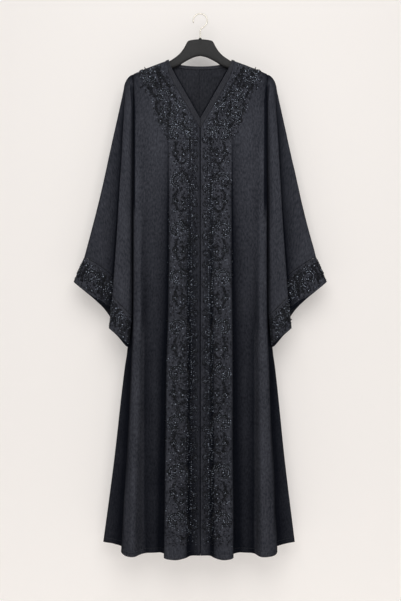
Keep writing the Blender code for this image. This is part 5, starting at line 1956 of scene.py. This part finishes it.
@dataclass
class CuffLace:
    """The embroidery round one cuff: wreaths and branches between a beaded line and the edge."""

    sleeve: Sleeve
    finishes: Finishes

    def build(self) -> None:
        """Draws the border round the cuff and lays it on the cloth."""
        side = self.sleeve.side
        ground = WrapGround(self.sleeve.cuff.moved(0.6 * CLOTH))
        length, tall = ground.round[-1] / MM, ground.tall / MM
        middle, radius = tall * 0.52, tall * 0.24
        plan = Layout(seed=77 + 9 * (side is Side.RIGHT))
        count = max(3, round(length / 66))
        pitch = length / count
        for k in range(count):
            x = (k + 0.5) * pitch
            plan.wreath((x, middle), radius, 250 + 20 * k, 286)
            for controls, leaf in CUFF_BRANCHES:
                plan.stem(bezier((x + over, tall * share) for over, share in controls), leaf, 4.8)
            plan.flower((x + 31, tall * 0.78), 6.0, 6)
            plan.flower((x - 4, tall * 0.17), 5.0, 5)
        line = np.stack([np.linspace(6, length - 6, 200), np.full(200, tall - 12.0)], -1)
        plan.string(line, 6.0, 1.1, 0.4)

        def likely(places: Array) -> Array:
            """Even filling that stops short of both edges and is thin inside the wreaths."""
            x, z = places[:, 0], places[:, 1]
            share = 0.5 * smooth(5, 9, z) * smooth(tall - 5, tall - 9, z)
            near = np.abs((x / pitch) % 1 - 0.5) * pitch
            return share * (smooth(0.9, 1.1, np.hypot(near, z - middle) / radius) * 0.9 + 0.1)

        def inside(places: Array, ends: float, edges: float) -> Array:
            """Which places stand clear of the cuff's two ends and of its two edges."""
            x, z = places[:, 0], places[:, 1]
            return (x > ends) & (x < length - ends) & (z > edges) & (z < tall - edges)

        plan.filling(likely, (5, 4, length - 5, tall - 4), 4.8)
        plan.cords = [kept for kept in (s[inside(s, 3, 3)] for s in plan.cords) if len(kept) > 4]
        leaves, beads = np.array(plan.leaves), np.array(plan.beads)
        plan.leaves, plan.beads = list(leaves[inside(leaves, 4, 6)]), list(beads[inside(beads, 4, 3)])
        lay_embroidery(plan, ground, np.ones_like, side, f"cuff_{side.word}_lace", self.finishes, [])


# ---- studio
@dataclass(frozen=True)
class Studio:
    """Pale wall and floor with a painted glow, soft lights, and the camera before the cloak at chest height.
    """

    grain: NodeTree
    wall_colour: Colour = (0.68, 0.652, 0.628)
    # Painted light: the wall and floor glow this much low down and at the hook's height, lifting the cloak's
    # cast shadow.
    glow: tuple[float, float] = (0.350, 0.215)
    wall_y: float = 0.068
    floor_z: float = -1.78
    key: float = 37.0
    back: float = 10.0
    sky: float = 0.30
    half_wide: float = 3.5
    wall_top: float = 1.6
    floor_y: float = -4.0
    camera_at: tuple[float, float, float] = (0.00085, -2.7, -0.8127)
    lens: float = 56.95

    def paint(self, name: str) -> Material:
        """Matte paint with a painted glow, clear from behind so that the cloak's back can be seen through it.
        """
        colour = self.wall_colour
        finish = HardFinish(name, colour, colour, (0.9, 0.95), grain=60.0, depth=0.0001, slow=2.0)
        made = finish.build(self.grain)
        t, nodes = Tree(made.node_tree), made.node_tree.nodes
        shader = nodes["Principled BSDF"]
        place = t.add("ShaderNodeTexCoord").outputs["Object"]
        height = t.add("ShaderNodeSeparateXYZ", {0: place}).outputs["Z"]
        # Painted light: a glow that grows towards the floor, standing for light on the wall and lifting the
        # cloak's shadow.
        glow = t.mix(t.spread(height, -1.7, 0.0, *self.glow), (0, 0, 0, 1), (1.0, 0.965, 0.935, 1))
        t.fill(shader, {"Emission Color": glow, "Emission Strength": 1.0})
        clear = t.add("ShaderNodeBsdfTransparent")
        behind = t.add("ShaderNodeNewGeometry").outputs["Backfacing"]
        both = t.add("ShaderNodeMixShader", {0: behind, 1: shader.outputs[0], 2: clear.outputs[0]})
        t.fill(nodes["Material Output"], {"Surface": both.outputs[0]})
        return made

    def flat(self, name: str, corners: tuple, material: Material) -> None:
        """A four-cornered sheet of the set."""
        mesh = quick_mesh(name, np.array(corners, float), np.array([[0, 1, 2, 3]]))
        made = new_object(name, mesh, material)
        made.visible_shadow = False

    def lamp(self, name: str, place: tuple, aim: tuple, size: float, power: float, colour: Colour) -> None:
        """A square soft lamp at a place, turned to what it lights."""
        data = bpy.data.lights.new(name, "AREA")
        data.shape, data.size, data.energy, data.color = "SQUARE", size, power, colour
        lamp = bpy.data.objects.new(name, data)
        lamp.location = place
        away = np.array(place, float) - np.array(aim, float)
        flat = math.hypot(away[0], away[1])
        lamp.rotation_euler = (math.atan2(flat, away[2]), 0.0, math.atan2(away[0], -away[1]))
        bpy.context.scene.collection.objects.link(lamp)

    def build(self) -> None:
        """Sets the wall, the floor, the lamps, the sky and the camera."""
        y, z, wide, top, near = self.wall_y, self.floor_z, self.half_wide, self.wall_top, self.floor_y
        paint = self.paint("studio_paint")
        self.flat("studio_wall", ((-wide, y, z), (wide, y, z), (wide, y, top), (-wide, y, top)), paint)
        self.flat("studio_floor", ((-wide, near, z), (wide, near, z), (wide, y, z), (-wide, y, z)), paint)
        self.lamp("key", (0.05, -1.9, 0.6), (0, 0, -0.7), 1.9, self.key, (1.0, 0.99, 0.98))
        self.lamp("back", (0.6, 2.4, 0.3), (0, 0, -0.8), 1.6, self.back, (1.0, 1.0, 1.0))
        world = bpy.data.worlds.new("pale_room")
        world.use_nodes = True
        sky = {"Color": (0.97, 0.98, 1.0, 1.0), "Strength": self.sky}
        Tree(world.node_tree).fill(world.node_tree.nodes["Background"], sky)
        scene = bpy.context.scene
        scene.world = world
        scene.view_settings.view_transform = "Standard"
        data = bpy.data.cameras.new("camera")
        data.lens, data.sensor_width, data.dof.use_dof = self.lens, 36.0, False
        camera = bpy.data.objects.new("camera", data)
        camera.location, camera.rotation_euler = self.camera_at, (0.5 * math.pi, 0.0, 0.0)
        scene.collection.objects.link(camera)
        scene.camera = camera


FRONT = PanelPlan("front", FRONT_FOLDS, front_top_z, RIGHT_FRONT_SPREAD, 1.0, 190, (0.36, 1.40), 0.342, 11)
BACK = PanelPlan("back", BACK_FOLDS, back_top_z, RIGHT_BACK_SPREAD, -1.0, 130, (0.30, 1.40), 0.310, 101)


def main() -> None:
    """Builds each part of the cloak in order, then the studio."""
    logging.basicConfig(level=logging.INFO, format="%(name)s: %(message)s")
    finishes = Finishes.build()
    Hanger(finishes).build()
    fronts, backs = {}, {}
    for side in Side:
        fronts[side] = BodyPanel(FRONT, side, finishes)
        backs[side] = BodyPanel(BACK, side, finishes)
        fronts[side].build()
        backs[side].build()
    NeckBands(fronts, backs[Side.LEFT], finishes).build()
    for side in Side:
        sleeve = Sleeve(side, finishes)
        sleeve.build()
        CuffLace(sleeve, finishes).build()
        FrontLace(fronts[side], finishes).build()
    Studio(finishes.grain).build()


if __name__ == "__main__":
    main()
